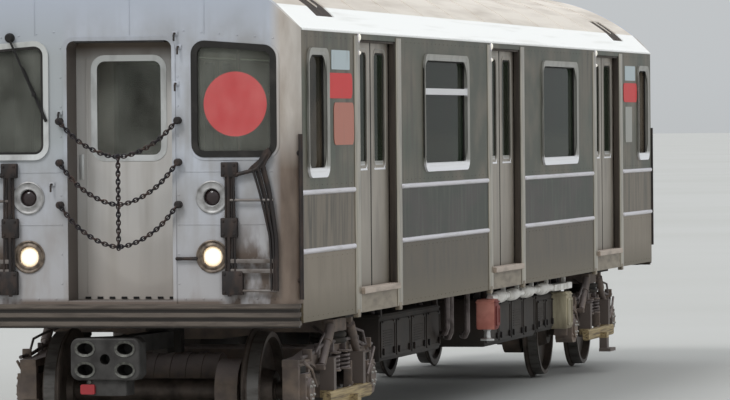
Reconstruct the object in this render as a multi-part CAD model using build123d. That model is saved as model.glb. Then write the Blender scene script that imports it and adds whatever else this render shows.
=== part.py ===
from build123d import *

import os
from math import cos, radians, sin, sqrt, tan

os.makedirs("parts", exist_ok=True)

# Metro car, millimetres. +X is the leading end, +Y the left side, +Z up. The origin lies
# midway along and across the car, level with the wheel flanges' lowest points.

# Clearances
seat_gap = 0.3          # between pieces that slide, turn or drop into each other
move_gap = 6.0          # between a moving piece and what it passes

# Body shell
body_half_length = 7643.0
half_width = 1310.0
floor_z = 1136.0
floor_thickness = 46.0
sill_drop = 138.0       # floor down to the lower edge of the side walls
eave_z = 3087.0
cove_width = 180.0      # canted strip above the eave, measured level
cove_rise = 175.0
roof_z = 3650.0
roof_thickness = 60.0

# Side wall: outer skin, door pocket and inner lining
skin = 53.0
pocket_depth = 46.0
lining = 21.0

# Side doorways
end_bay = 1892.0        # last doorway to the end of the body
door_half = 635.0
door_top_z = 3030.0
leaf_overlap = 20.0     # how far a shut leaf stays inside its pocket
leaf_thickness = 32.0
leaf_gap = 3.0          # half of the gap between two shut leaves
leaf_travel = 620.0
pocket_end_gap = 25.0
leaf_window_width = 375.0
leaf_window_low_z = 2090.0
leaf_window_high_z = 2940.0
leaf_window_radius = 60.0
pane_thickness = 8.0
threshold_reach = 30.0  # how far a threshold stands out past the skin
threshold_thickness = 40.0

# Side windows: one between the pockets of each middle bay, one beside each cab
bay_window_margin = 368.0
cab_window_inset = 493.0
cab_window_width = 660.0
window_low_z = 2020.0
window_high_z = 2950.0
window_radius = 110.0
frame_lip = 10.0        # how far a window frame stands out past the skin
frame_face = 50.0       # width of the frame seen from outside
frame_cover = 35.0      # how far the lip covers the skin around the hole
frame_depth = 80.0
transom_z = 2654.0
transom_height = 50.0

# Belt rails and blank sign plates on the skin
belt_zs = (1918.0, 1500.0)
belt_height = 32.0
belt_reach = 12.0
belt_inset = 40.0
sign_reach = 4.0
sign_radius = 15.0
# distance of the centre from the end of the body, width, lowest and highest point
sign_plates = (
    (1243.0, 600.0, 2800.0, 2942.0),
    (1238.0, 780.0, 2620.0, 2770.0),
    (1373.0, 600.0, 2280.0, 2575.0),
)

# End mask
mask_depth = 97.0
corner_width = 160.0    # how far the rounded corner reaches in from the side
end_door_half = 387.5
end_door_step = 24.0    # floor up to the foot of the end doorway
end_door_top_z = 3010.0
recess_depth = 260.0
jamb = 40.0
end_window_gap = 142.5  # end doorway to end window
end_window_low_z = 2175.0
end_window_high_z = 3009.0
end_window_drop = 48.0
end_window_radius = 95.0
gasket = 45.0
gasket_lip = 10.0
gasket_cover = 14.0
gasket_depth = 50.0

# End door
end_leaf_thickness = 35.0
end_leaf_overlap = 40.0
end_leaf_travel = 750.0
end_leaf_window_width = 500.0
end_leaf_window_height = 700.0
end_leaf_window_z = 2530.0
end_leaf_window_radius = 70.0
header_height = 100.0
end_rail_rise = 46.0    # end doorway's top up to the hanger rail
end_rail_height = 10.0
end_rail_reach = 25.0

# Lamps
headlamp_z = 1472.0
tail_lamp_z = 1892.0
lamp_radius = 122.0
headlamp_lens_radius = 76.0
tail_lens_radius = 62.0
bezel_reach = 14.0
lamp_hole_radius = 98.0
lamp_hole_depth = 55.0

# Anticlimber and coupler
anticlimber_drop = 171.0    # floor down to its lower edge
anticlimber_reach = 22.0    # past the mask
anticlimber_inset = 20.0    # in from the side of the body
coupler_inset = 1093.0      # end of the body back to the coupler's pivot
coupler_reach = 85.0        # mask to the coupler's face
coupler_z = 745.0
coupler_rest_swing = -4.5
shank_width = 150.0
shank_height = 120.0
head_width = 520.0
head_height = 300.0
head_depth = 230.0

# Trucks
truck_inset = 2157.0        # end of the body back to the truck's pivot
wheelbase = 2083.0
tread_radius = 432.0
flange_height = 28.0
flange_back_y = 678.0
wheel_width = 135.0
axle_radius = 85.0
journal_radius = 65.0
side_frame_y = 990.0
side_frame_width = 120.0
bolster_rise = 500.0        # axle up to the body's bearing on the truck

# Planes that follow from these
sill_z = floor_z - sill_drop
under_z = floor_z - floor_thickness
cove_y = half_width - cove_width
cove_z = eave_z + cove_rise
wall_thickness = skin + pocket_depth + lining
inner_y = half_width - wall_thickness
pocket_in_y = inner_y + lining
pocket_out_y = half_width - skin
door_pitch = body_half_length - end_bay - door_half
face_x = body_half_length + mask_depth
corner_y = half_width - corner_width
coupler_x = body_half_length - coupler_inset
coupler_face_x = face_x + coupler_reach
truck_x = body_half_length - truck_inset
axle_z = tread_radius + flange_height
body_bolster_z = axle_z + bolster_rise


def block(x0, x1, y0, y1, z0, z1):
    """A box between the given planes."""
    middle = Pos((x0 + x1) / 2, (y0 + y1) / 2, (z0 + z1) / 2)
    return middle * Box(x1 - x0, y1 - y0, z1 - z0)


def along_x(face, x0, x1):
    """A face drawn in car Y and Z, stretched from x0 to x1."""
    return extrude(Plane.YZ.offset(x0) * face, amount=x1 - x0)


def along_y(face, y0, y1):
    """A face drawn in car X and Z, stretched from y0 to y1."""
    return extrude(Plane.XZ.offset(-y1) * face, amount=y1 - y0)


def along_z(face, z0, z1):
    """A face drawn in car X and Y, stretched from z0 to z1."""
    return extrude(Plane.XY.offset(z0) * face, amount=z1 - z0)


def rod_x(x0, x1, y, z, radius):
    """A round bar along the car."""
    return Pos((x0 + x1) / 2, y, z) * (Rot(0, 90, 0) * Cylinder(radius, x1 - x0))


def rod_y(x, y0, y1, z, radius):
    """A round bar across the car."""
    return Pos(x, (y0 + y1) / 2, z) * (Rot(90, 0, 0) * Cylinder(radius, y1 - y0))


def rod_z(x, y, z0, z1, radius):
    """An upright round bar."""
    return Pos(x, y, (z0 + z1) / 2) * Cylinder(radius, z1 - z0)


def turned(shape):
    """The same piece at the other end and on the other side of the car."""
    return shape.rotate(Axis.Z, 180)


def other_side(shape):
    """The piece mirrored across the car's middle plane."""
    return shape.mirror(Plane.XZ)


def other_end(shape):
    """The piece mirrored end for end."""
    return shape.mirror(Plane.YZ)


def with_turned(pieces):
    """Pieces with their copies at the other end and on the other side."""
    return [*pieces, *[turned(piece) for piece in pieces]]


def solids_of(pieces):
    """Every separate solid of the pieces, in order."""
    found = []
    for piece in pieces:
        found.extend(piece.solids())
    return found


def save(name, *pieces):
    """Writes one sub-part."""
    export_step(Compound(solids_of(pieces)), f"parts/{name}.step")


# Body section
def body_section(low_z):
    """The outer outline of the body seen from the end, closed at low_z."""
    crown = ThreePointArc((cove_y, cove_z), (0, roof_z), (-cove_y, cove_z))
    rest = Polyline(
        (-cove_y, cove_z), (-half_width, eave_z), (-half_width, low_z),
        (half_width, low_z), (half_width, eave_z), (cove_y, cove_z),
    )
    return make_face([crown, rest])


def inside_section(depth):
    """The body outline moved in by depth, left open far below the eave."""
    return offset(body_section(floor_z - 2 * depth), -depth, kind=Kind.INTERSECTION)


# Roof with a louvred recess at each end on both shoulders
vent_inset = 943.0      # end of the body back to the recess
vent_length = 600.0
vent_edge = 105.0       # side of the body in to the recess
vent_width = 255.0
vent_depth = 45.0
vent_slats = 5
vent_slat = 20.0
vent_x1 = body_half_length - vent_inset
vent_x0 = vent_x1 - vent_length
vent_out_y = half_width - vent_edge
vent_in_y = vent_out_y - vent_width

roof_below = block(
    -body_half_length - 1, body_half_length + 1, -half_width - 1, half_width + 1, 0, eave_z
)
roof = along_x(body_section(floor_z), -body_half_length, body_half_length)
roof -= along_x(inside_section(roof_thickness), -body_half_length, body_half_length)
roof -= roof_below
vent_zone = block(vent_x0, vent_x1, vent_in_y, vent_out_y, eave_z, roof_z)
vent_cut = vent_zone - along_x(inside_section(vent_depth), vent_x0, vent_x1)
for cut in with_turned([vent_cut, other_side(vent_cut)]):
    roof -= cut
save("roof", roof)

# Louvres that fill the recesses
slat_pitch = vent_length / vent_slats
slat_band = along_x(inside_section(vent_depth / 3), vent_x0, vent_x1)
slat_band -= along_x(inside_section(vent_depth - seat_gap), vent_x0, vent_x1)
louvre = slat_band & block(
    vent_x0 + seat_gap, vent_x1 - seat_gap,
    vent_in_y + (vent_width - vent_slat) / 2, vent_in_y + (vent_width + vent_slat) / 2,
    eave_z, roof_z,
)
for row in range(vent_slats):
    x0 = vent_x0 + (row + 0.5) * slat_pitch - vent_slat / 2
    louvre += slat_band & block(
        x0, x0 + vent_slat, vent_in_y + seat_gap, vent_out_y - seat_gap, eave_z, roof_z
    )
save("roof_vents", *with_turned([louvre, other_side(louvre)]))

# Side walls: four bays a side, with door pockets and window holes
groove_width = 12.0     # guide groove of the leaves, in the sills
groove_depth = 10.0
pocket_top_z = 3080.0
door_xs = (-door_pitch, 0.0, door_pitch)
pocket_length = leaf_travel + leaf_overlap + pocket_end_gap
bay_length = door_pitch - 2 * door_half
bay_window_width = bay_length - 2 * (pocket_length + bay_window_margin)
cab_window_x = body_half_length - cab_window_inset
# start and end of each bay along the car
bays = (
    (-body_half_length, -door_pitch - door_half),
    (-door_pitch + door_half, -door_half),
    (door_half, door_pitch - door_half),
    (door_pitch + door_half, body_half_length),
)
# centre along the car, width over the frame, has a transom bar
side_windows = (
    (-cab_window_x, cab_window_width, False),
    (-door_pitch / 2, bay_window_width, False),
    (door_pitch / 2, bay_window_width, True),
    (cab_window_x, cab_window_width, False),
)
window_z = (window_low_z + window_high_z) / 2
window_height = window_high_z - window_low_z
leaf_y = (pocket_in_y + pocket_out_y) / 2


def window_shape(centre_x, width, shrink):
    """A side window's rounded outline, moved in all round by shrink."""
    outline = RectangleRounded(
        width - 2 * shrink, window_height - 2 * shrink, window_radius - shrink
    )
    return Pos(centre_x, window_z) * outline


def guide_groove(x0, x1):
    """The slot in a sill that a leaf's guides run in."""
    return block(
        x0, x1, leaf_y - groove_width / 2, leaf_y + groove_width / 2,
        floor_z - groove_depth, floor_z,
    )


def side_wall():
    """The left side's bays."""
    wall = []
    for start, end in bays:
        bay = block(start, end, inner_y, half_width, sill_z, eave_z)
        for door_x in door_xs:
            x0 = door_x - door_half - pocket_length
            x1 = door_x + door_half + pocket_length
            bay -= block(x0, x1, pocket_in_y, pocket_out_y, floor_z, pocket_top_z)
            bay -= guide_groove(x0, x1)
        for centre_x, width, _ in side_windows:
            if start < centre_x < end:
                bay -= along_y(window_shape(centre_x, width, frame_cover), inner_y, half_width)
        wall.append(bay)
    return wall


wall_left = side_wall()
save("side_wall_left", *wall_left)
save("side_wall_right", *[turned(bay) for bay in wall_left])

# Headers over the side doorways, with the rail that the leaves hang from
rail_depth = 12.0
rail_height = 8.0
rail_z = 3054.0
rail_top_z = rail_z + rail_height
rail_y = pocket_out_y - rail_depth
rail_half = door_half + pocket_length - pocket_end_gap / 2
header = block(-door_half, door_half, inner_y, half_width, door_top_z, eave_z)
header -= block(-door_half, door_half, pocket_in_y, pocket_out_y, door_top_z, pocket_top_z)
header += block(-rail_half, rail_half, rail_y, pocket_out_y, rail_z, rail_top_z)
save("door_headers", *with_turned([Pos(x, 0, 0) * header for x in door_xs]))

# Thresholds with a guide groove, a skirt below, a rounded nose and two step tabs
tab_width = 60.0
tab_inset = 75.0
tab_drop = 206.0        # floor down to the foot of a tab
tab_thickness = 25.0
nose_radius = 8.0
threshold_y = half_width + threshold_reach
threshold_z = floor_z - threshold_thickness
threshold = block(-door_half, door_half, inner_y, threshold_y, threshold_z, floor_z)
nose = threshold.edges().filter_by(Axis.X).group_by(Axis.Y)[-1]
threshold = fillet(nose, nose_radius)
threshold -= guide_groove(-door_half, door_half)
threshold += block(-door_half, door_half, half_width - skin, half_width, sill_z, threshold_z)
for tab_x in (-door_half + tab_inset, door_half - tab_inset):
    x0 = tab_x - tab_width / 2
    x1 = tab_x + tab_width / 2
    threshold += block(
        x0, x1, threshold_y - tab_thickness, threshold_y, floor_z - tab_drop,
        threshold_z + nose_radius,
    )
    threshold += block(
        x0, x1, half_width, threshold_y, threshold_z - tab_thickness, threshold_z
    )
save("thresholds", *with_turned([Pos(x, 0, 0) * threshold for x in door_xs]))

# Side door leaves: a pressed panel with a window, a soft nose, guides and hangers
leaf_in_y = leaf_y - leaf_thickness / 2
leaf_out_y = leaf_y + leaf_thickness / 2
leaf_low_z = floor_z + move_gap
leaf_end_x = door_half + leaf_overlap
leaf_top_gap = 10.0     # leaf up to the hanger rail
leaf_top_z = rail_z - leaf_top_gap
leaf_nose_radius = 12.0
bezel_width = 22.0      # sunk border round the pane
bezel_depth = 5.0
guide_length = 120.0
guide_lift = 2.0
hanger_length = 140.0
hanger_thickness = 12.0
hanger_top_z = pocket_top_z - move_gap


def leaf_window(shrink):
    """The outline of a leaf's window, moved in all round by shrink."""
    outline = RectangleRounded(
        leaf_window_width - 2 * shrink, leaf_window_high_z - leaf_window_low_z - 2 * shrink,
        leaf_window_radius - shrink,
    )
    return Pos(door_half / 2, (leaf_window_high_z + leaf_window_low_z) / 2) * outline


def side_leaf():
    """The leaf that closes the forward half of a left doorway at X = 0, and its pane."""
    leaf = block(leaf_gap, leaf_end_x, leaf_in_y, leaf_out_y, leaf_low_z, leaf_top_z)
    meeting = leaf.edges().filter_by(Axis.Z).group_by(Axis.X)[0]
    leaf = fillet(meeting, leaf_nose_radius)
    leaf -= along_y(leaf_window(0), leaf_in_y, leaf_out_y)
    leaf -= along_y(leaf_window(-bezel_width), leaf_out_y - bezel_depth, leaf_out_y)
    guide_half = groove_width / 2 - seat_gap
    hanger_y = leaf_in_y + move_gap
    for x0 in (leaf_gap + hanger_length, leaf_end_x - 2 * hanger_length):
        leaf += block(
            x0, x0 + guide_length, leaf_y - guide_half, leaf_y + guide_half,
            floor_z - groove_depth + guide_lift, leaf_low_z,
        )
        leaf += block(
            x0, x0 + hanger_length, hanger_y, hanger_y + hanger_thickness,
            leaf_top_z, hanger_top_z,
        )
        leaf += block(
            x0, x0 + hanger_length, hanger_y + hanger_thickness,
            pocket_out_y - move_gap, rail_top_z + seat_gap, hanger_top_z,
        )
    pane = along_y(leaf_window(seat_gap), leaf_y, leaf_y + pane_thickness)
    return [leaf, pane]


fore_leaf = side_leaf()
aft_leaf = [other_end(piece) for piece in fore_leaf]
for number, door_x in enumerate(reversed(door_xs), start=1):
    for end, leaf in (("fore", fore_leaf), ("aft", aft_leaf)):
        placed = [Pos(door_x, 0, 0) * piece for piece in leaf]
        save(f"door_left_{number}_{end}", *placed)
        save(f"door_right_{number}_{end}", *[other_side(piece) for piece in placed])

# Side window frames and panes
frame_in_y = half_width - frame_depth
pane_y = half_width - frame_depth / 2
transom_end = 5.0       # how far the transom is let into the frame
frames = []
panes = []
for centre_x, width, has_transom in side_windows:
    frame = along_y(window_shape(centre_x, width, 0), half_width, half_width + frame_lip)
    frame += along_y(
        window_shape(centre_x, width, frame_cover + seat_gap), frame_in_y, half_width
    )
    frame -= along_y(
        window_shape(centre_x, width, frame_face), frame_in_y, half_width + frame_lip
    )
    pane = along_y(
        window_shape(centre_x, width, frame_face + seat_gap), pane_y, pane_y + pane_thickness
    )
    if has_transom:
        bar_half = width / 2 - frame_face + transom_end
        low_z = transom_z - transom_height / 2
        high_z = transom_z + transom_height / 2
        frame += block(
            centre_x - bar_half, centre_x + bar_half, frame_in_y, half_width + frame_lip / 2,
            low_z, high_z,
        )
        pane -= block(
            centre_x - width, centre_x + width, inner_y, half_width,
            low_z - seat_gap, high_z + seat_gap,
        )
    frames.append(frame)
    panes.append(pane)
save("side_window_frames", *with_turned(frames))
save("side_glass", *with_turned(panes))

# Belt rails between the doorways
rails = []
for start, end in bays:
    for belt_z in belt_zs:
        low = (half_width, belt_z - belt_height / 2)
        high = (half_width, belt_z + belt_height / 2)
        bulge = ThreePointArc(low, (half_width + belt_reach, belt_z), high)
        section = make_face([bulge, Line(high, low)])
        rails.append(along_x(section, start + belt_inset, end - belt_inset))
save("belt_rails", *with_turned(rails))

# Blank sign plates beside the end doorways
plates = []
for inset, width, low_z, high_z in sign_plates:
    for x in (body_half_length - inset, inset - body_half_length):
        outline = RectangleRounded(width, high_z - low_z, sign_radius)
        plate = along_y(Pos(x, (low_z + high_z) / 2) * outline, half_width, half_width + sign_reach)
        plates.append(plate)
save("sign_plates", *with_turned(plates))

# Floor
save(
    "floor",
    block(-body_half_length, body_half_length, -inner_y, inner_y, under_z, floor_z),
)

# End masks
corner_radius = (mask_depth**2 + corner_width**2) / (2 * mask_depth)
inside_x = face_x - recess_depth
jamb_y = end_door_half + jamb
end_door_low_z = floor_z + end_door_step
header_top_z = end_door_top_z + header_height
end_track_y = jamb_y + end_leaf_travel
end_rail_z = end_door_top_z + end_rail_rise
end_rail_top_z = end_rail_z + end_rail_height
end_rail_x0 = inside_x - end_rail_reach
end_window_in_y = end_door_half + end_window_gap
recess_radius = 55.0
eye_gap = 47.5          # end doorway to the middle of a chain eye
eye_zs = (2438.0, 2142.0, 1842.0)
eye_radius = 16.0
eye_reach = 38.0
eye_y = end_door_half + eye_gap
gate_post_inset = 345.0     # rounded corner in to the gate's post
gate_post_y = corner_y - gate_post_inset
lamp_gate_gap = 11.0
lamp_y = gate_post_y - lamp_gate_gap - lamp_radius


def plan_outline(front_x, half, back_x):
    """An end's outline seen from above, with the mask's rounded corners."""
    depth = corner_radius - sqrt(corner_radius**2 - (half - corner_y) ** 2)
    middle = (half - corner_y) / 2
    middle_depth = corner_radius - sqrt(corner_radius**2 - middle**2)
    left = ThreePointArc(
        (front_x - depth, half), (front_x - middle_depth, corner_y + middle),
        (front_x, corner_y),
    )
    right = ThreePointArc(
        (front_x, -corner_y), (front_x - middle_depth, -corner_y - middle),
        (front_x - depth, -half),
    )
    rest = Polyline(
        (front_x - depth, -half), (back_x - 1, -half), (back_x - 1, half),
        (front_x - depth, half),
    )
    front = Line((front_x, corner_y), (front_x, -corner_y))
    whole = make_face([left, front, right, rest])
    return whole - Pos(back_x - 1, 0) * Rectangle(2, 2 * half + 2)


def end_window_shape(grow):
    """The left end window's outline, its top sloping down outwards."""
    corners = make_face(
        Polyline(
            (end_window_in_y, end_window_low_z), (corner_y, end_window_low_z),
            (corner_y, end_window_high_z - end_window_drop),
            (end_window_in_y, end_window_high_z), close=True,
        )
    )
    rounded = fillet(corners.vertices(), end_window_radius)
    return offset(rounded, grow, kind=Kind.INTERSECTION) if grow else rounded


def end_doorway():
    """The end doorway's outline, rounded at its two upper corners."""
    height = end_door_top_z - end_door_low_z
    outline = Pos(0, end_door_low_z + height / 2) * Rectangle(2 * end_door_half, height)
    return fillet(outline.vertices().group_by(Axis.Y)[-1], recess_radius)


def end_mask():
    """The leading end: curved mask, door recess, door header and chain eyes."""
    mask = along_z(plan_outline(face_x, half_width, body_half_length), floor_z, roof_z + 1)
    mask &= along_x(body_section(floor_z), body_half_length, face_x)
    mask += block(inside_x, body_half_length, -jamb_y, jamb_y, floor_z, end_door_top_z + jamb)
    mask += block(
        inside_x, body_half_length, -jamb_y, end_track_y, end_door_top_z + jamb, header_top_z
    )
    mask += block(end_rail_x0, inside_x, -jamb_y, end_track_y, end_rail_z, end_rail_top_z)
    mask -= along_x(end_doorway(), inside_x, face_x)
    hole = along_x(end_window_shape(-gasket_cover), body_half_length, face_x)
    mask -= hole
    mask -= other_side(hole)
    for y in (-lamp_y, lamp_y):
        for z in (headlamp_z, tail_lamp_z):
            mask -= rod_x(face_x - lamp_hole_depth, face_x, y, z, lamp_hole_radius)
    for y in (-eye_y, eye_y):
        for z in eye_zs:
            mask += rod_x(face_x, face_x + eye_reach, y, z, eye_radius)
    return mask


mask = end_mask()
save("end_front", mask)
save("end_rear", turned(mask))

# Gaskets and panes of the end windows
gasket_ring = along_x(end_window_shape(0), face_x, face_x + gasket_lip)
gasket_ring += along_x(
    end_window_shape(-gasket_cover - seat_gap), face_x - gasket_depth, face_x
)
gasket_ring -= along_x(
    end_window_shape(-gasket), face_x - gasket_depth, face_x + gasket_lip
)
end_pane_x = face_x - gasket_depth / 2
end_pane = along_x(
    end_window_shape(-gasket - seat_gap), end_pane_x, end_pane_x + pane_thickness
)
save("end_window_frames", *with_turned([gasket_ring, other_side(gasket_ring)]))
save("end_glass", *with_turned([end_pane, other_side(end_pane)]))

# Lamps: a dished bezel ring with a barrel in the mask, and a lens in the barrel
bezel_slope = 6.0
barrel_end_gap = 5.0
lens_rise = 12.0


def bezel(lens_radius):
    """A lamp's ring, turned about its own axis, facing +X from the mask's face."""
    barrel = lamp_hole_radius - seat_gap
    back = barrel_end_gap - lamp_hole_depth
    profile = Polyline(
        (lens_radius, back), (barrel, back), (barrel, 0), (lamp_radius, 0),
        (lamp_radius, bezel_reach - bezel_slope), (lamp_radius - bezel_slope, bezel_reach),
        (lens_radius + 2 * bezel_slope, bezel_reach), (lens_radius, 0), close=True,
    )
    ring = revolve(Plane.XZ * make_face(profile), Axis.Z)
    return Pos(face_x, 0, 0) * (Rot(0, 90, 0) * ring)


def lens(lens_radius):
    """A lens with a slightly domed front, seated in the bezel's barrel."""
    radius = lens_radius - seat_gap
    edge = -lamp_hole_depth / 2
    sphere = (radius**2 + lens_rise**2) / (2 * lens_rise)
    ball = Pos(0, 0, edge + lens_rise - sphere) * Sphere(sphere)
    body = Pos(0, 0, edge) * Cylinder(radius, 2 * lens_rise) & ball
    return Pos(face_x, 0, 0) * (Rot(0, 90, 0) * body)


bezels = []
lenses = []
for y in (-lamp_y, lamp_y):
    for z, radius in ((headlamp_z, headlamp_lens_radius), (tail_lamp_z, tail_lens_radius)):
        bezels.append(Pos(0, y, z) * bezel(radius))
        lenses.append(Pos(0, y, z) * lens(radius))
save("lamp_bezels", *with_turned(bezels))
save("lamp_lenses", *with_turned(lenses))

# Anticlimber: a rounded beam across the end with level ribs
rib_count = 3
rib_reach = 18.0
rib_height = 30.0
rib_pitch = 62.0
anticlimber_x = face_x + anticlimber_reach
anticlimber_half = half_width - anticlimber_inset
anticlimber_low_z = floor_z - anticlimber_drop
anticlimber = along_z(
    plan_outline(anticlimber_x, anticlimber_half, body_half_length),
    anticlimber_low_z, floor_z,
)
rib_plan = plan_outline(
    anticlimber_x + rib_reach, anticlimber_half + rib_reach / 2, body_half_length
)
for rib in range(rib_count):
    top = floor_z - rib * rib_pitch
    anticlimber += along_z(rib_plan, top - rib_height, top)
save("anticlimbers", *with_turned([anticlimber]))

# End doors: a leaf on two hangers that slides across behind the recess, and its pane
end_leaf_x1 = inside_x - move_gap
end_leaf_x0 = end_leaf_x1 - end_leaf_thickness
end_leaf_half = end_door_half + end_leaf_overlap
end_leaf_low_z = floor_z + move_gap
end_leaf_top_z = end_rail_z - 2 * move_gap
end_hanger_drop = 60.0
end_hanger_inset = 60.0
end_hanger_rise = 3 * move_gap


def end_leaf_window(shrink):
    """The outline of the end door's window, moved in all round by shrink."""
    outline = RectangleRounded(
        end_leaf_window_width - 2 * shrink, end_leaf_window_height - 2 * shrink,
        end_leaf_window_radius - shrink,
    )
    return Pos(0, end_leaf_window_z) * outline


def end_door():
    """The sliding door behind the leading end's recess, and its pane."""
    leaf = block(
        end_leaf_x0, end_leaf_x1, -end_leaf_half, end_leaf_half, end_leaf_low_z, end_leaf_top_z
    )
    leaf -= along_x(end_leaf_window(0), end_leaf_x0, end_leaf_x1)
    plate_x1 = end_rail_x0 - move_gap
    plate_x0 = plate_x1 - hanger_thickness
    plate_low_z = end_leaf_top_z - end_hanger_drop
    plate_top_z = end_rail_top_z + end_hanger_rise
    for y0 in (
        end_hanger_inset - end_leaf_half, end_leaf_half - end_hanger_inset - hanger_length
    ):
        y1 = y0 + hanger_length
        leaf += block(plate_x0, end_leaf_x0, y0, y1, plate_low_z, end_leaf_top_z)
        leaf += block(plate_x0, plate_x1, y0, y1, plate_low_z, plate_top_z)
        leaf += block(
            plate_x0, inside_x - move_gap, y0, y1, end_rail_top_z + seat_gap, plate_top_z
        )
    pane = along_x(
        end_leaf_window(seat_gap), end_leaf_x1 - 2 * pane_thickness,
        end_leaf_x1 - pane_thickness,
    )
    return [leaf, pane]


door = end_door()
save("end_door_front", *door)
save("end_door_rear", *[turned(piece) for piece in door])

# Cab partition with its hinged door, on the right of the leading end
cab_length = 1343.0
partition = 30.0
cab_wall_gap = 5.0      # end door recess to the cab's inner wall
cab_jamb = 140.0        # side wall to the hinge edge of the cab doorway
cab_door_width = 550.0
cab_door_top_z = 2990.0
cab_door_gap = 5.0
cab_wall_top_z = 3050.0
pin_radius = 5.0
barrel_radius = 9.0
barrel_gap = 1.5        # back of the door to the barrel
barrel_low_z = 1300.0
barrel_high_z = 2800.0
lug_height = 40.0
pin_length = 30.0
knuckle_width = 10.0
cab_back_x = body_half_length - cab_length
cab_wall_y = jamb_y + cab_wall_gap
cab_hinge_edge_y = inner_y - cab_jamb
hinge_side = 2.0        # edge of the cab doorway to the pin
hinge_x = cab_back_x + partition + barrel_radius + barrel_gap
hinge_y = -cab_hinge_edge_y - hinge_side


def cab_partition():
    """The cab's inner wall and back wall, with the hinge lugs of its door."""
    wall = block(
        cab_back_x, body_half_length, -cab_wall_y - partition, -cab_wall_y, floor_z,
        cab_wall_top_z,
    )
    wall += block(
        cab_back_x, cab_back_x + partition, -inner_y, -cab_wall_y, floor_z, cab_wall_top_z
    )
    wall -= block(
        cab_back_x, cab_back_x + partition, -cab_hinge_edge_y,
        -cab_hinge_edge_y + cab_door_width, floor_z, cab_door_top_z,
    )
    for z0, z1, pin_z0, pin_z1 in (
        (barrel_low_z - lug_height, barrel_low_z - seat_gap,
         barrel_low_z - lug_height, barrel_low_z + pin_length),
        (barrel_high_z + seat_gap, barrel_high_z + lug_height,
         barrel_high_z - pin_length, barrel_high_z + lug_height),
    ):
        wall += rod_z(hinge_x, hinge_y, z0, z1, barrel_radius)
        wall += block(
            cab_back_x + partition / 2, hinge_x, hinge_y - barrel_radius, hinge_y, z0, z1
        )
        wall += rod_z(hinge_x, hinge_y, pin_z0, pin_z1, pin_radius)
    return wall


def cab_door():
    """The cab's door, with a hinge barrel on its inner face."""
    edge_y = cab_door_gap - cab_hinge_edge_y
    knuckle_y = edge_y + knuckle_width
    leaf = block(
        cab_back_x, cab_back_x + partition, edge_y,
        cab_door_width - cab_door_gap - cab_hinge_edge_y,
        floor_z + move_gap, cab_door_top_z - move_gap,
    )
    leaf += rod_z(hinge_x, hinge_y, barrel_low_z, barrel_high_z, barrel_radius)
    leaf += block(
        cab_back_x + partition / 2, hinge_x, edge_y, knuckle_y, barrel_low_z, barrel_high_z
    )
    leaf += block(
        hinge_x - hinge_side, hinge_x - hinge_side + barrel_radius, hinge_y, knuckle_y,
        barrel_low_z, barrel_high_z,
    )
    leaf -= rod_z(hinge_x, hinge_y, barrel_low_z, barrel_high_z, pin_radius + seat_gap)
    return leaf


save("cab_partitions", *with_turned([cab_partition()]))
save("cab_door_front", cab_door())
save("cab_door_rear", turned(cab_door()))

# Driver's console under the right end window
console_depth = 190.0
console_rise = 864.0
console_slope = 90.0
console_foot = 120.0
console_x1 = body_half_length - seat_gap
console_x0 = console_x1 - console_depth
console_top_z = floor_z + console_rise
console_outline = make_face(
    Polyline(
        (console_x1, floor_z), (console_x1, console_top_z),
        (console_x1 - console_depth / 2, console_top_z),
        (console_x0, console_top_z - console_slope),
        (console_x0, console_top_z - 2 * console_slope),
        (console_x1 - console_foot, console_top_z - 3 * console_slope),
        (console_x1 - console_foot, floor_z), close=True,
    )
)
console = along_y(console_outline, -inner_y, -cab_wall_y - partition)
save("cab_consoles", *with_turned([console]))

# Benches along the walls
bench_end_gap = 125.0
seat_rise = 430.0
seat_depth = 430.0
seat_edge = 40.0
seat_dish = 20.0
bench_back_rise = 864.0
bench_back_top = 30.0
bench_back_foot = 90.0
heater_depth = 260.0
seat_z = floor_z + seat_rise
back_top_z = floor_z + bench_back_rise
seat_front_y = inner_y - seat_depth


def bench(x0, x1):
    """A moulded bench against the left wall, with its heater box below."""
    foot_y = inner_y - bench_back_foot
    back = Polyline(
        (inner_y, floor_z), (inner_y, back_top_z), (inner_y - bench_back_top, back_top_z),
        (foot_y, seat_z + seat_dish),
    )
    pan = ThreePointArc(
        (foot_y, seat_z + seat_dish), ((foot_y + seat_front_y) / 2, seat_z - seat_dish),
        (seat_front_y, seat_z),
    )
    under = Polyline(
        (seat_front_y, seat_z), (seat_front_y, seat_z - seat_edge),
        (inner_y - heater_depth, seat_z - 2 * seat_edge), (inner_y - heater_depth, floor_z),
        (inner_y, floor_z),
    )
    return along_x(make_face([back, pan, under]), x0, x1)


bench_start = door_half + bench_end_gap
bench_end = door_pitch - bench_start
benches = [
    bench(bench_start, bench_end),
    bench(-bench_end, -bench_start),
    bench(door_pitch + bench_start, cab_window_x),
]
save("seats", *with_turned(benches))

# Poles from floor to ceiling and hung grab rails
pole_radius = 16.0
pole_inset = 908.0      # middle of a doorway to the pole beside it
grab_radius = 14.0
grab_hanger_radius = 9.0
grab_z = 2950.0
grab_inset = 370.0      # inner wall to the grab rail
grab_end = 516.0        # end of the grab rail from the middle of the last doorway
grab_y = inner_y - grab_inset
grab_half = door_pitch - grab_end
pole_xs = (pole_inset, door_pitch / 2, door_pitch - pole_inset)
saloon = along_x(inside_section(roof_thickness + seat_gap), -body_half_length, body_half_length)
poles = [rod_z(x, 0, floor_z, roof_z, pole_radius) & saloon for x in pole_xs]
grab = rod_x(-grab_half, grab_half, grab_y, grab_z, grab_radius)
for x in pole_xs:
    hanger = rod_z(x, grab_y, grab_z, roof_z, grab_hanger_radius) & saloon
    grab += hanger
    grab += other_end(hanger)
save("stanchions", *with_turned(poles), grab, other_side(grab))

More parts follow.
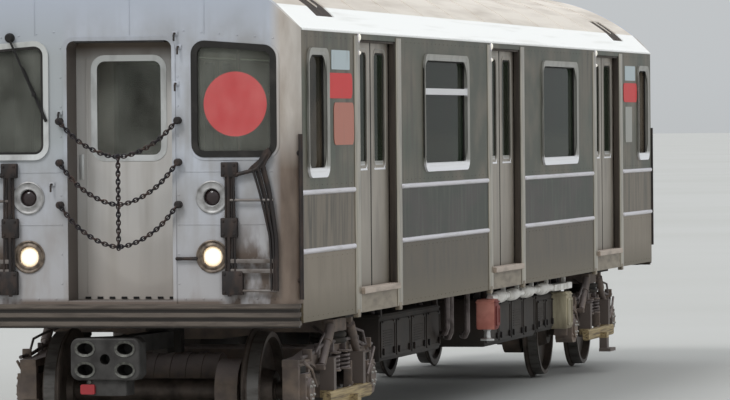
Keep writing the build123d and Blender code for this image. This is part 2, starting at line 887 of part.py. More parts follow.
# Underframe: centre sill in three lengths, body bolsters, cross members, end sills
sill_half = 150.0
sill_web_half = 40.0
sill_flange = 25.0
body_bolster_half = 280.0
end_sill_length = 100.0
cross_drop = 80.0       # underside of the floor down to a cross member's
cross_half = 40.0
cross_share = 0.3667    # spacing of the cross members, of the middle's half length
jack_inset = 1736.0     # truck's pivot to the jacking cross member
jack_cross_half = 100.0
jack_pad_half = 75.0
jack_pad_width = 90.0
jack_pad_height = 30.0
under_inset = 1886.0    # truck's pivot to the end of the equipment
under_half = truck_x - under_inset
cross_z = under_z - cross_drop
jack_x = truck_x - jack_inset
sill_end_x = body_half_length - end_sill_length
sill_bolster_gap = body_bolster_half + seat_gap
cross_step = cross_share * under_half


def sill_length(x0, x1):
    """One length of the centre sill: an upright web between two wide flanges."""
    sill = block(x0, x1, -sill_half, sill_half, body_bolster_z, under_z)
    hollow = block(
        x0, x1, sill_web_half, sill_half, body_bolster_z + sill_flange, under_z - sill_flange
    )
    return sill - hollow - other_side(hollow)


def cross_member(x, half):
    """A cross member's left half, from the centre sill to the side wall."""
    return block(x - half, x + half, sill_half + seat_gap, inner_y, cross_z, under_z)


# Coupler pocket: a post behind the coupler's eye between two plates, with a pin
yoke_plate = 40.0
yoke_half = 110.0
coupler_pin = 35.0
coupler_eye = 72.0
post_depth = 95.0
shank_rise = 30.0       # coupler's height up to the shank's underside
eye_low_z = coupler_z + shank_rise
eye_high_z = eye_low_z + shank_height
plate_low_z = eye_low_z - seat_gap - yoke_plate
post_x1 = coupler_x - coupler_eye - move_gap
post_x0 = post_x1 - post_depth
pocket_top = body_bolster_z - seat_gap
pocket = block(
    post_x0, coupler_x + yoke_half, -yoke_half, yoke_half, eye_high_z + seat_gap, pocket_top
)
pocket += block(
    post_x0, post_x1, -yoke_half, yoke_half, plate_low_z, eye_high_z + yoke_plate
)
pocket += block(
    post_x0, coupler_x + yoke_half, -yoke_half / 2, yoke_half / 2, plate_low_z,
    eye_low_z - seat_gap,
)
pocket += rod_z(coupler_x, 0, plate_low_z, eye_high_z + yoke_plate, coupler_pin)

jack_pad = block(
    jack_x - jack_pad_half, jack_x + jack_pad_half, inner_y - jack_pad_width, inner_y,
    cross_z - jack_pad_height, cross_z - seat_gap,
)
end_sill = block(
    sill_end_x, body_half_length, -inner_y, inner_y, anticlimber_low_z, under_z
)
body_bolster = block(
    truck_x - body_bolster_half, truck_x + body_bolster_half, -inner_y, inner_y,
    body_bolster_z, under_z,
)
side_members = [cross_member(step * cross_step, cross_half) for step in (-2, -1, 0, 1, 2)]
side_members += [cross_member(x, jack_cross_half) for x in (-jack_x, jack_x)]
underframe = [sill_length(sill_bolster_gap - truck_x, truck_x - sill_bolster_gap)]
underframe += with_turned([sill_length(truck_x + sill_bolster_gap, sill_end_x - seat_gap)])
underframe += with_turned([body_bolster, end_sill, pocket])
underframe += with_turned([jack_pad, other_side(jack_pad)])
underframe += side_members
underframe += [other_side(member) for member in side_members]
save("underframe", *underframe)

# Couplers
coupler_plate = 55.0
coupler_corner = 60.0
coupler_nose_radius = 12.0
coupler_taper = 180.0
coupler_bevel = 35.0
opening_y = 150.0
opening_z = 75.0
opening_half_width = 62.0
opening_half_height = 42.0
opening_depth = 150.0
socket_radius = 38.0
socket_depth = 120.0
contact_box_half = 150.0
contact_box_height = 110.0
contact_box_inset = 30.0
contact_box_radius = 15.0


def bevelled(width, height, centre_z):
    """A rectangle with bevelled corners, seen from the end."""
    outline = Pos(0, centre_z) * Rectangle(width, height)
    return chamfer(outline.vertices(), coupler_bevel)


def coupler():
    """The leading coupler: eye, shank, tapered head with openings, contact box."""
    neck_x = coupler_face_x - head_depth
    plate_x = coupler_face_x - coupler_plate
    body = rod_z(coupler_x, 0, eye_low_z, eye_high_z, coupler_eye)
    body += block(
        coupler_x, neck_x, -shank_width / 2, shank_width / 2, eye_low_z, eye_high_z
    )
    shank_z = (eye_low_z + eye_high_z) / 2
    body += loft([
        Plane.YZ.offset(neck_x - coupler_taper) * bevelled(shank_width, shank_height, shank_z),
        Plane.YZ.offset(neck_x) * bevelled(head_width - coupler_corner, head_height, coupler_z),
    ])
    body += along_x(
        bevelled(head_width - coupler_corner, head_height, coupler_z), neck_x, plate_x
    )
    outline = Pos(0, coupler_z) * RectangleRounded(head_width, head_height, coupler_corner)
    plate = along_x(outline, plate_x, coupler_face_x)
    body += fillet(plate.edges().group_by(Axis.X)[-1], coupler_nose_radius)
    for y in (-opening_y, opening_y):
        for z in (coupler_z - opening_z, coupler_z + opening_z):
            opening = Pos(y, z) * Ellipse(opening_half_width, opening_half_height)
            body -= along_x(opening, coupler_face_x - opening_depth, coupler_face_x)
    body -= rod_x(coupler_face_x - socket_depth, coupler_face_x, 0, coupler_z, socket_radius)
    contact_top_z = coupler_z - head_height / 2
    contact_box = block(
        neck_x + contact_box_inset, coupler_face_x - contact_box_inset,
        -contact_box_half, contact_box_half, contact_top_z - contact_box_height,
        contact_top_z + coupler_bevel,
    )
    body += fillet(contact_box.edges().filter_by(Axis.X), contact_box_radius)
    body -= rod_z(coupler_x, 0, eye_low_z, eye_high_z, coupler_pin + seat_gap)
    pivot = Axis((coupler_x, 0, 0), (0, 0, 1))
    return body.rotate(pivot, coupler_rest_swing)


save("coupler_front", coupler())
save("coupler_rear", turned(coupler()))

# Equipment hung under the floor
strap_width = 50.0
strap_inset = 60.0
strap_out_y = half_width - 190.0
box_edge = 25.0
door_margin = 45.0
door_reach = 12.0
door_radius = 20.0
box_door_width = 620.0      # about this much of a box gets one door
box_top_z = cross_z - box_edge
# start and end as shares of the middle's half length, distance of the inner face from the
# car's middle plane and of the outer face from the body's side, lowest and highest point
left_boxes = (
    (0.2639, 0.3139, half_width - 250.0, 70.0, 650.0, 930.0),
    (-0.6528, -0.0139, 420.0, 212.0, 480.0, box_top_z),
    (-1.0, -0.6806, 500.0, 72.0, 500.0, 840.0),
    (0.3194, 0.9722, 420.0, 360.0, 520.0, box_top_z),
)
# the same for the right side
right_boxes = (
    (-0.9722, -0.4167, 450.0, 92.0, 480.0, box_top_z),
    (-0.3194, 0.3056, 450.0, 142.0, 500.0, box_top_z),
    (0.375, 0.9722, 500.0, 92.0, 450.0, box_top_z),
)


def equipment_box(start, end, in_y, inset, z0, z1):
    """A box on the left with straps up to the floor and doors on its outer face."""
    x0 = start * under_half
    x1 = end * under_half
    out_y = half_width - inset
    box = block(x0, x1, in_y, out_y, z0, z1)
    box = fillet(box.edges().filter_by(Axis.X), box_edge)
    strap_y = min(out_y, strap_out_y)
    for x in (x0 + strap_inset, x1 - strap_inset - strap_width):
        box += block(x, x + strap_width, strap_y - strap_width, strap_y, z1 - box_edge, under_z)
    doors = max(1, round((x1 - x0) / box_door_width))
    pitch = (x1 - x0) / doors
    outline = RectangleRounded(
        pitch - door_margin, z1 - z0 - 2 * door_margin, door_radius
    )
    for number in range(doors):
        x = x0 + (number + 0.5) * pitch
        box += along_y(Pos(x, (z0 + z1) / 2) * outline, out_y - door_reach, out_y + door_reach)
    return box


equipment = [equipment_box(*row) for row in left_boxes]
equipment += [other_side(equipment_box(*row)) for row in right_boxes]
save("equipment_boxes", *equipment)

# Resistor bank: a row of ribbed tubes along the left sill
bank_start = -0.9889    # ends as shares of the middle's half length
bank_end = 0.0417
bank_inset = 125.0      # side of the body in to the bank's middle
bank_z = 905.0
bank_radius = 34.0
rib_ring_radius = 50.0
bank_ribs = 34
bank_hangers = 4
bank_hanger_half = 10.0
bank_hanger_width = 38.0
bank_hanger_gap = 2.0
bank_y = half_width - bank_inset
bank_x0 = bank_start * under_half
bank_x1 = bank_end * under_half
bank_step = (bank_x1 - bank_x0) / bank_ribs
bank = rod_x(bank_x0, bank_x1, bank_y, bank_z, bank_radius)
for rib in range(bank_ribs):
    x = bank_x0 + (rib + 0.5) * bank_step
    bank += rod_x(x - bank_step / 6, x + bank_step / 6, bank_y, bank_z, rib_ring_radius)
for number in range(bank_hangers):
    x = bank_x0 + (0.5 + number * (bank_ribs - 1) / (bank_hangers - 1)) * bank_step
    bank += block(
        x - bank_hanger_half, x + bank_hanger_half,
        inner_y - bank_hanger_gap - bank_hanger_width, inner_y - bank_hanger_gap,
        bank_z, under_z,
    )
save("resistor_bank", bank)

# Air reservoirs with domed ends, strapped up to the centre sill
tank_radius = 190.0
tank_half = 600.0
tank_dome = 90.0
tank_z = 700.0
tank_offset = 120.0
tank_strap_x = 350.0
tank_strap_half = 30.0


def tank(x, y):
    """An air reservoir lying along the car."""
    shell = rod_x(x - tank_half, x + tank_half, y, tank_z, tank_radius)
    shell = fillet(shell.edges(), tank_dome)
    for strap_x in (x - tank_strap_x, x + tank_strap_x):
        shell += block(
            strap_x - tank_strap_half, strap_x + tank_strap_half, y - tank_strap_half,
            y + tank_strap_half, tank_z + tank_radius - tank_strap_half,
            body_bolster_z - seat_gap,
        )
    return shell


save("air_reservoirs", tank(under_half - tank_half, 0), tank(cross_step / 2, tank_offset))

# Corner gates: folded bars that stand on the end's outer corners
gate_reach = 35.0
gate_bar_radius = 14.0
gate_rod_radius = 10.0
gate_foot = 54.0        # heights above the floor
gate_head = 994.0
gate_rail_low = 94.0
gate_rail_mid = 664.0
gate_flats = (219.0, 289.0)
gate_flat_height = 30.0
gate_flat_half = 8.0
# across from the post, height above the floor
gate_brace = ((0.0, 904.0), (210.0, 962.0), (285.0, 1064.0))
gate_outer = ((255.0, 974.0), (301.0, 778.0), (345.0, 424.0), (345.0, 94.0))
# first and last point across from the post, lowest and highest point above the floor
gate_blocks = ((-55.0, 65.0, 899.0, 1004.0), (-53.0, 100.0, 64.0, 234.0))
gate_x = face_x + gate_reach


def gate_bar(points, radius):
    """A round bar along points given across from the post and up from the floor."""
    route = [(gate_x, gate_post_y + across, floor_z + height) for across, height in points]
    path = Polyline(*route)
    section = Plane(origin=path @ 0, z_dir=path % 0) * Circle(radius)
    return sweep(section, path=path, transition=Transition.ROUND)


def corner_gate():
    """The left leading gate."""
    width = corner_y - gate_post_y
    gate = gate_bar([(0, gate_foot), (0, gate_head)], gate_bar_radius)
    for y0, y1, z0, z1 in gate_blocks:
        gate += block(
            face_x, gate_x + gate_bar_radius, gate_post_y + y0, gate_post_y + y1,
            floor_z + z0, floor_z + z1,
        )
    gate += gate_bar(gate_brace, gate_rod_radius)
    gate += gate_bar(gate_outer, gate_bar_radius)
    for low in gate_flats:
        gate += block(
            gate_x - gate_flat_half, gate_x + gate_flat_half, gate_post_y, corner_y,
            floor_z + low, floor_z + low + gate_flat_height,
        )
    gate += gate_bar([(0, gate_rail_low), (width, gate_rail_low)], gate_rod_radius)
    gate += gate_bar([(0, gate_rail_mid), (0.93 * width, gate_rail_mid)], gate_rod_radius)
    return gate


# Corner bar: an upright bar on the rounded corner, on two feet
corner_bar_radius = 13.0
corner_bar_low = 29.0
corner_bar_high = 1199.0
corner_foot = 22.0
corner_foot_radius = 10.0
corner_foot_heights = (164.0, 1064.0)
corner_spot = radians(52)


def corner_bar():
    """The left leading corner's bar."""
    centre_x = face_x - corner_radius
    reach = corner_radius + corner_foot
    bar = rod_z(
        centre_x + reach * cos(corner_spot), corner_y + reach * sin(corner_spot),
        floor_z + corner_bar_low, floor_z + corner_bar_high, corner_bar_radius,
    )
    for height in corner_foot_heights:
        outward = Plane(
            origin=(centre_x, corner_y, floor_z + height),
            z_dir=(cos(corner_spot), sin(corner_spot), 0),
        )
        foot = outward.offset(corner_radius + seat_gap) * Circle(corner_foot_radius)
        bar += extrude(foot, amount=corner_foot - seat_gap)
    return bar


gates = [corner_gate(), corner_bar()]
save("corner_gates", *with_turned([*gates, *[other_side(gate) for gate in gates]]))

# Safety chains: three swags between the eyes, joined by an upright strap
chain_radius = 9.0
chain_sides = 6
chain_strap_radius = 7.0
chain_flat = chain_radius * cos(radians(180 / chain_sides))
chain_x = face_x + eye_reach + chain_flat + seat_gap
swag_drops = (258.0, 302.0, 302.0)
# share of the way out to the eye, share of the drop
swag_shape = ((0.78, 0.42), (0.5, 0.74), (0.22, 0.94), (0.0, 1.0))


def swag_route(high_z, drop):
    """Points along one swag, from the left eye to the right one."""
    left = [(chain_x, eye_y, high_z)]
    left += [(chain_x, eye_y * out, high_z - drop * down) for out, down in swag_shape]
    right = [(x, -y, z) for x, y, z in reversed(left[:-1])]
    return left + right


def tube(points):
    """A chain's tube on straight runs joined by the largest neat tangent arcs."""
    vectors = [Vector(*point) for point in points]
    radii = []
    for before, here, after in zip(vectors, vectors[1:], vectors[2:]):
        turn = (here - before).get_angle(after - here)
        shorter = min((here - before).length, (after - here).length)
        radii.append(0.45 * shorter / tan(radians(turn / 2)))
    path = FilletPolyline(*points, radius=radii)
    section = Plane(origin=path @ 0, z_dir=path % 0) * RegularPolygon(chain_radius, chain_sides)
    return sweep(section, path=path)


def chains():
    """The leading end's chains."""
    hung = tube(swag_route(eye_zs[0], swag_drops[0]))
    for high_z, drop in zip(eye_zs[1:], swag_drops[1:]):
        hung += tube(swag_route(high_z, drop))
    hung += rod_z(
        chain_x, 0, eye_zs[-1] - swag_drops[-1], eye_zs[0] - swag_drops[0], chain_strap_radius
    )
    return hung


hung_chains = chains()
save("safety_chains_front", hung_chains)
save("safety_chains_rear", turned(hung_chains))

# Wheelsets: an axle with two pressed-on wheels
hub_back = 13.0
hub_front = 27.0
hub_radius = 140.0
bore_radius = axle_radius + seat_gap
wheel_seat = 40.0
rim_depth = 40.0
plate_thickness = 30.0
flange_width = 32.0
flange_back_slope = 12.0
flange_back_width = 8.0
flange_front_width = 19.0
flange_front_drop = 2.0
tread_taper = 4.0
web_slope = 10.0
hub_back_flare = 25.0
hub_front_flare = 30.0
journal_reach_y = 264.0      # outer face of the wheel to the end of the axle
journal_end_y = flange_back_y + wheel_width + journal_reach_y


def wheel():
    """A left wheel, drawn as distance from the car's middle plane against radius."""
    back = flange_back_y
    front = back + wheel_width
    tip = tread_radius + flange_height
    rim = tread_radius - rim_depth
    web_back = back + rim_depth
    web_front = web_back + plate_thickness
    profile = Polyline(
        (back - hub_back, bore_radius), (back - hub_back, hub_radius),
        (back + plate_thickness, hub_radius + hub_back_flare), (web_back, rim - web_slope),
        (back, rim), (back, tip - flange_back_slope), (back + flange_back_width, tip),
        (back + flange_front_width, tip - flange_front_drop),
        (back + flange_width, tread_radius), (front, tread_radius - tread_taper), (front, rim),
        (web_front, rim - web_slope), (web_front, hub_radius + hub_front_flare),
        (front + hub_front, hub_radius), (front + hub_front, bore_radius), close=True,
    )
    return revolve(make_face(profile), Axis.X).rotate(Axis.Z, 90)


left_wheel = wheel()
axle_end_y = flange_back_y + wheel_width + wheel_seat
axle = rod_y(0, -axle_end_y, axle_end_y, 0, axle_radius)
axle += rod_y(0, -journal_end_y, journal_end_y, 0, journal_radius)
axle_offset = wheelbase / 2
axle_xs = (
    truck_x + axle_offset, truck_x - axle_offset,
    -truck_x + axle_offset, -truck_x - axle_offset,
)
for number, x in enumerate(axle_xs, start=1):
    place = Pos(x, 0, axle_z)
    save(
        f"wheelset_{number}", place * axle, place * left_wheel, place * other_side(left_wheel)
    )

# Truck frame: two side frames on journal boxes, two transoms and a bolster; heights are
# above the axle
frame_half = 1240.0
frame_shoulder_x = 900.0
frame_pad_x = 820.0
frame_waist_x = 420.0
frame_top_rise = 300.0
frame_shoulder_rise = 240.0
frame_tip_rise = 230.0
frame_pad_rise = 180.0
frame_waist_rise = 100.0
frame_rim = 14.0
frame_recess = 14.0
frame_hole_x = 250.0
frame_hole_radius = 48.0
leg_width = 55.0
leg_drop = 60.0
leg_gap = 2.0
journal_half = 128.0
journal_drop = 130.0
journal_rise = 125.0
journal_reach = 40.0
journal_bevel = 40.0
cap_radius = 88.0
cap_reach = 20.0
transom_x = 190.0
transom_half = 55.0
transom_low_rise = 140.0
transom_high_rise = 280.0
transom_radius = 20.0
bolster_half = 230.0
bolster_low_rise = 390.0
bolster_plate_drop = 15.0
bolster_end_height = 50.0
bolster_width = 1080.0
bolster_flat = 620.0
centre_plate_radius = 200.0
frame_in_y = side_frame_y - side_frame_width / 2
frame_out_y = side_frame_y + side_frame_width / 2
frame_top_z = axle_z + frame_top_rise
pad_top_z = axle_z + frame_pad_rise
bolster_low_z = axle_z + bolster_low_rise
bolster_high_z = body_bolster_z - bolster_plate_drop
journal_face_y = frame_out_y + journal_reach


def side_frame():
    """The left side frame: a deep waist, two arms and four legs, with a recessed face."""
    outline = make_face(
        Polyline(
            (-frame_half, pad_top_z), (-frame_half, axle_z + frame_tip_rise),
            (-frame_shoulder_x, axle_z + frame_shoulder_rise), (-frame_waist_x, frame_top_z),
            (frame_waist_x, frame_top_z), (frame_shoulder_x, axle_z + frame_shoulder_rise),
            (frame_half, axle_z + frame_tip_rise), (frame_half, pad_top_z),
            (frame_pad_x, pad_top_z), (frame_waist_x, axle_z + frame_waist_rise),
            (-frame_waist_x, axle_z + frame_waist_rise), (-frame_pad_x, pad_top_z), close=True,
        )
    )
    side = along_y(outline, frame_in_y, frame_out_y)
    inner = offset(outline, -frame_rim, kind=Kind.INTERSECTION)
    side -= along_y(inner, frame_out_y - frame_recess, frame_out_y)
    for x in (-frame_hole_x, 0, frame_hole_x):
        hole_z = axle_z + (frame_top_rise + frame_waist_rise) / 2
        side -= rod_y(x, frame_in_y, frame_out_y, hole_z, frame_hole_radius)
    for middle in (-axle_offset, axle_offset):
        for inner_x in (journal_half + leg_gap, -journal_half - leg_gap - leg_width):
            side += block(
                middle + inner_x, middle + inner_x + leg_width, frame_in_y, frame_out_y,
                axle_z - leg_drop, pad_top_z + frame_rim,
            )
    return side


def transom(x):
    """A beam of rectangular section between the side frames."""
    end_y = frame_in_y - seat_gap
    beam = block(
        x - transom_half, x + transom_half, -end_y, end_y,
        axle_z + transom_low_rise, axle_z + transom_high_rise,
    )
    return fillet(beam.edges().filter_by(Axis.Y), transom_radius)


def journal_box(x):
    """The left box round an axle's end, with a round cap."""
    outline = Pos(x, axle_z + (journal_rise - journal_drop) / 2) * Rectangle(
        2 * journal_half, journal_rise + journal_drop
    )
    outline = chamfer(outline.vertices().group_by(Axis.Y)[0], journal_bevel)
    box = along_y(outline, frame_in_y, journal_face_y)
    box += rod_y(x, journal_face_y, journal_face_y + cap_reach, axle_z, cap_radius)
    bore_end_y = journal_end_y + move_gap / 2
    return box - rod_y(x, frame_in_y, bore_end_y, axle_z, journal_radius + seat_gap)


def truck_bolster():
    """The swing beam, deepest in the middle, with its round centre plate."""
    outline = make_face(
        Polyline(
            (-bolster_width, bolster_high_z), (bolster_width, bolster_high_z),
            (bolster_width, bolster_low_z), (bolster_flat, bolster_low_z),
            (bolster_half, bolster_low_z - bolster_end_height),
            (-bolster_half, bolster_low_z - bolster_end_height),
            (-bolster_flat, bolster_low_z), (-bolster_width, bolster_low_z), close=True,
        )
    )
    beam = along_x(outline, -bolster_half, bolster_half)
    return beam + rod_z(0, 0, bolster_high_z, body_bolster_z - seat_gap, centre_plate_radius)


# Brake units: a hanger under the transom, a cylinder and a shoe on the tread
brake_in_y = 720.0
brake_out_y = 800.0
brake_hanger_half = 45.0
brake_hanger_drop = 70.0
brake_cylinder_radius = 55.0
shoe_gap = 8.0
shoe_thickness = 45.0
shoe_half_angle = 17
shoe_overlap = 12.0


def brake_unit():
    """The brake for the wheel ahead on the left."""
    hanger = block(
        transom_x - brake_hanger_half, transom_x + brake_hanger_half, brake_in_y, brake_out_y,
        axle_z - brake_hanger_drop, axle_z + transom_low_rise - seat_gap,
    )
    inner = tread_radius + shoe_gap
    outer = inner + shoe_thickness
    back_x = -2 * outer * cos(radians(shoe_half_angle))
    back_z = 2 * outer * sin(radians(shoe_half_angle))
    sector = Polyline((0, 0), (back_x, back_z), (back_x, -back_z), close=True)
    shoe = (Circle(outer) - Circle(inner)) & make_face(sector)
    shoe = along_y(Pos(axle_offset, axle_z) * shoe, brake_in_y, brake_out_y)
    cylinder = rod_x(
        transom_x, axle_offset - outer + shoe_overlap, (brake_in_y + brake_out_y) / 2, axle_z,
        brake_cylinder_radius,
    )
    cylinder &= block(
        transom_x, axle_offset, brake_in_y, brake_out_y, 0, axle_z + frame_top_rise
    )
    return hanger + cylinder + shoe


def truck_frame():
    """Every solid of a truck's frame, brakes and bolster."""
    left = [side_frame(), journal_box(-axle_offset), journal_box(axle_offset), brake_unit()]
    left.append(other_end(left[-1]))
    right = [other_side(piece) for piece in left]
    return [*left, *right, transom(-transom_x), transom(transom_x), truck_bolster()]


# Springs: bellows under the bolster's ends, rubber pads over the journal boxes
bellows_radius = 140.0
bellows_waist = 120.0
bellows_folds = 2
spring_pad_half = 100.0
spring_pad_width = 50.0
spring_pad_bevel = 12.0


def bellows():
    """The left bellows, turned about its own upright axis."""
    low = frame_top_z
    fold = (bolster_low_z - low) / bellows_folds
    outline = [Line((0, bolster_low_z), (0, low)), Line((0, low), (bellows_waist, low))]
    for number in range(bellows_folds):
        foot = low + number * fold
        outline.append(
            ThreePointArc(
                (bellows_waist, foot), (bellows_radius, foot + fold / 2),
                (bellows_waist, foot + fold),
            )
        )
    outline.append(Line((bellows_waist, bolster_low_z), (0, bolster_low_z)))
    body = revolve(Plane.XZ * make_face(outline), Axis.Z)
    return Pos(0, side_frame_y, 0) * body


def spring_pad(x):
    """The left rubber pad over a journal box."""
    pad = block(
        x - spring_pad_half, x + spring_pad_half, side_frame_y - spring_pad_width,
        side_frame_y + spring_pad_width, axle_z + journal_rise, pad_top_z,
    )
    return chamfer(pad.edges().filter_by(Axis.Z), spring_pad_bevel)


# Motors between the axles, with gear cases round them
motor_inset = 441.5
motor_rise = 40.0
motor_radius = 215.0
motor_half = 330.0
motor_fins = 5
motor_fin_depth = 8.0
motor_shaft_radius = 70.0
motor_arm_y0 = 150.0
motor_arm_y1 = 250.0
motor_arm_low = 110.0
motor_arm_high = 180.0
gear_y0 = 430.0
gear_y1 = 600.0
gear_radius = 230.0
pinion_radius = 130.0
axle_clearance = 10.0


def truck_motor():
    """The motor ahead of the truck's middle and its gear case."""
    x = axle_offset - motor_inset
    z = axle_z + motor_rise
    motor = rod_y(x, -motor_half, motor_half, z, motor_radius)
    fin_pitch = 2 * motor_half / (2 * motor_fins + 1)
    for fin in range(motor_fins):
        y0 = (2 * fin + 1) * fin_pitch - motor_half
        ring = rod_y(x, y0, y0 + fin_pitch, z, motor_radius)
        motor -= ring - rod_y(x, y0, y0 + fin_pitch, z, motor_radius - motor_fin_depth)
    motor += rod_y(x, motor_half, gear_y0, z, motor_shaft_radius)
    for y0, y1 in ((motor_arm_y0, motor_arm_y1), (-motor_arm_y1, -motor_arm_y0)):
        motor += block(
            transom_x + transom_half, x, y0, y1, z + motor_arm_low, z + motor_arm_high
        )
    big = Pos(axle_offset, axle_z) * Circle(gear_radius)
    small = Pos(x, z) * Circle(pinion_radius)
    motor += along_y(make_hull([*big.edges(), *small.edges()]), gear_y0, gear_y1)
    return motor - rod_y(axle_offset, -gear_y1, gear_y1, axle_z, axle_radius + axle_clearance)


# Contact shoe beams outside the journal boxes
beam_half = 700.0
beam_gap = 20.0
beam_width = 60.0
beam_drop = 130.0       # axle down to the beam's underside
beam_height = 100.0
beam_bevel = 12.0
bracket_x = 500.0
bracket_half = 40.0
bracket_rise = 215.0
shoe_half = 150.0
shoe_drop = 260.0
shoe_height = 30.0
shoe_reach = 110.0
shoe_arm_half = 60.0
shoe_arm_width = 60.0


def shoe_beam():
    """The left beam with its two brackets and its sprung shoe."""
    beam_y = journal_face_y + beam_gap
    beam_out_y = beam_y + beam_width
    beam_z = axle_z - beam_drop
    beam = block(-beam_half, beam_half, beam_y, beam_out_y, beam_z, beam_z + beam_height)
    beam = chamfer(beam.edges().filter_by(Axis.X), beam_bevel)
    for x in (-bracket_x, bracket_x):
        beam += block(
            x - bracket_half, x + bracket_half, frame_out_y, beam_out_y - beam_bevel,
            beam_z + beam_height / 2, axle_z + bracket_rise,
        )
    shoe_z = axle_z - shoe_drop
    beam += block(
        -shoe_half, shoe_half, beam_out_y, beam_out_y + shoe_reach, shoe_z,
        shoe_z + shoe_height,
    )
    beam += block(
        -shoe_arm_half, shoe_arm_half, beam_out_y - beam_bevel, beam_out_y + shoe_arm_width,
        shoe_z, beam_z + beam_height / 2,
    )
    return beam


frame_pieces = truck_frame()
left_springs = [bellows(), spring_pad(-axle_offset), spring_pad(axle_offset)]
spring_pieces = [*left_springs, *[other_side(piece) for piece in left_springs]]
motor_pieces = with_turned([truck_motor()])
beam_pieces = [shoe_beam(), other_side(shoe_beam())]
for end, place in (("front", Pos(truck_x, 0, 0)), ("rear", Pos(-truck_x, 0, 0) * Rot(0, 0, 180))):
    save(f"truck_frame_{end}", *[place * piece for piece in frame_pieces])
    save(f"truck_springs_{end}", *[place * piece for piece in spring_pieces])
    save(f"truck_motors_{end}", *[place * piece for piece in motor_pieces])
    save(f"shoe_beams_{end}", *[place * piece for piece in beam_pieces])
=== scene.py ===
from math import cos, pi, radians, sin, sqrt

import bmesh
import bpy
from mathutils import Matrix, Vector


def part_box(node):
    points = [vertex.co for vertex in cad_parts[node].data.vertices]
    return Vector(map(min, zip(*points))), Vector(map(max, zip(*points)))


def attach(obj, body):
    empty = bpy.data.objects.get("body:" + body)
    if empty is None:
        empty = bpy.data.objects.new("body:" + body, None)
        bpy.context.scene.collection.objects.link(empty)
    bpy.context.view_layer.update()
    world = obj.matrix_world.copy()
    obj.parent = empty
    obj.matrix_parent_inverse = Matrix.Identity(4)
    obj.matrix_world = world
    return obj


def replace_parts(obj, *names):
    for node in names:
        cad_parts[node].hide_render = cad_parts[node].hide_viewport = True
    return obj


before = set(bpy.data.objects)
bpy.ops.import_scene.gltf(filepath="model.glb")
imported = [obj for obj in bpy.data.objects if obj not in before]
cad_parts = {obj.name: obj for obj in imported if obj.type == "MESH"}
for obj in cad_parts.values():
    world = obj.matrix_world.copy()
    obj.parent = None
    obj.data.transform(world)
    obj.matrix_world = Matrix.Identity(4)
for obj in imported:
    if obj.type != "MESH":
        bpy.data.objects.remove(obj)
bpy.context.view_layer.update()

# Camera
# A long lens far ahead of the car on its left, a little above the window sills.
camera_place = Vector((42.5461, 9.5021, 2.4089))
camera_yaw = 0.2182
camera_pitch = -0.0152
camera_roll = -0.0085
camera_lens = 249.98
camera_reach = 3000.0

forward = Vector((
    -cos(camera_yaw) * cos(camera_pitch), -sin(camera_yaw) * cos(camera_pitch),
    sin(camera_pitch),
))
level_right = forward.cross(Vector((0, 0, 1))).normalized()
level_up = level_right.cross(forward)
right = level_right * cos(camera_roll) + level_up * sin(camera_roll)
up = level_up * cos(camera_roll) - level_right * sin(camera_roll)
camera = bpy.data.objects.new("camera", bpy.data.cameras.new("camera"))
camera.data.lens = camera_lens
camera.data.clip_end = camera_reach
camera_turn = Matrix((right, up, -forward)).transposed().to_4x4()
camera.matrix_world = Matrix.Translation(camera_place) @ camera_turn
bpy.context.scene.collection.objects.link(camera)
bpy.context.scene.camera = camera
bpy.context.scene.view_settings.view_transform = "Standard"

# Studio
# A wide floor of pale matt concrete under an overcast sky, with one soft sun ahead of the
# car on its left.
floor_radius = 900.0
floor_sides = 96
floor_hex = "#b3b3b0"
sky_hex = "#eef1f4"
horizon_hex = "#aaadaf"
ground_hex = "#7a7975"
sky_span = (-0.15, 0.9)
horizon_share = 0.15
sky_strength = 1.3
sun_strength = 1.25
sun_spread = radians(18)
sun_pitch = radians(42)
sun_yaw = radians(64)


def linear(hex_code):
    """An sRGB hex code as a linear colour with full alpha."""
    channels = [int(hex_code[start:start + 2], 16) / 255 for start in (1, 3, 5)]
    lit = [c / 12.92 if c <= 0.04045 else ((c + 0.055) / 1.055) ** 2.4 for c in channels]
    return (*lit, 1.0)


def add_node(tree, kind, inputs=(), **settings):
    """Adds a node with its settings; an input takes a value or the output it is linked to."""
    node = tree.nodes.new(kind)
    for name, value in settings.items():
        setattr(node, name, value)
    for socket, value in dict(inputs).items():
        if isinstance(value, bpy.types.NodeSocket):
            tree.links.new(value, node.inputs[socket])
        else:
            node.inputs[socket].default_value = value
    return node


def new_material(name, hex_code, metallic=0.0, roughness=0.5, **sockets):
    """A material with its shader's even values set; returns it, its tree and the shader."""
    material = bpy.data.materials.new(name)
    material.use_nodes = True
    shader = material.node_tree.nodes["Principled BSDF"]
    shader.inputs["Base Color"].default_value = linear(hex_code)
    shader.inputs["Metallic"].default_value = metallic
    shader.inputs["Roughness"].default_value = roughness
    for socket, value in sockets.items():
        shader.inputs[socket.replace("_", " ")].default_value = value
    return material, material.node_tree, shader


def blend(tree, share, one, other):
    """Colour that turns from one to the other as the share goes from 0 to 1."""
    mix = add_node(tree, "ShaderNodeMix", {"Factor": share}, data_type="RGBA")
    for socket, colour in ((mix.inputs[6], one), (mix.inputs[7], other)):
        if isinstance(colour, str):
            socket.default_value = linear(colour)
        else:
            tree.links.new(colour, socket)
    return mix.outputs[2]


def coordinate(tree, axis):
    """A point's place along an axis of the car."""
    place = add_node(tree, "ShaderNodeTexCoord")
    parts = add_node(tree, "ShaderNodeSeparateXYZ", {"Vector": place.outputs["Object"]})
    return parts.outputs[axis]


def reckon(tree, operation, one, other=0.0):
    """The result of one sum on two values or outputs."""
    return add_node(
        tree, "ShaderNodeMath", {0: one, 1: other}, operation=operation
    ).outputs["Value"]


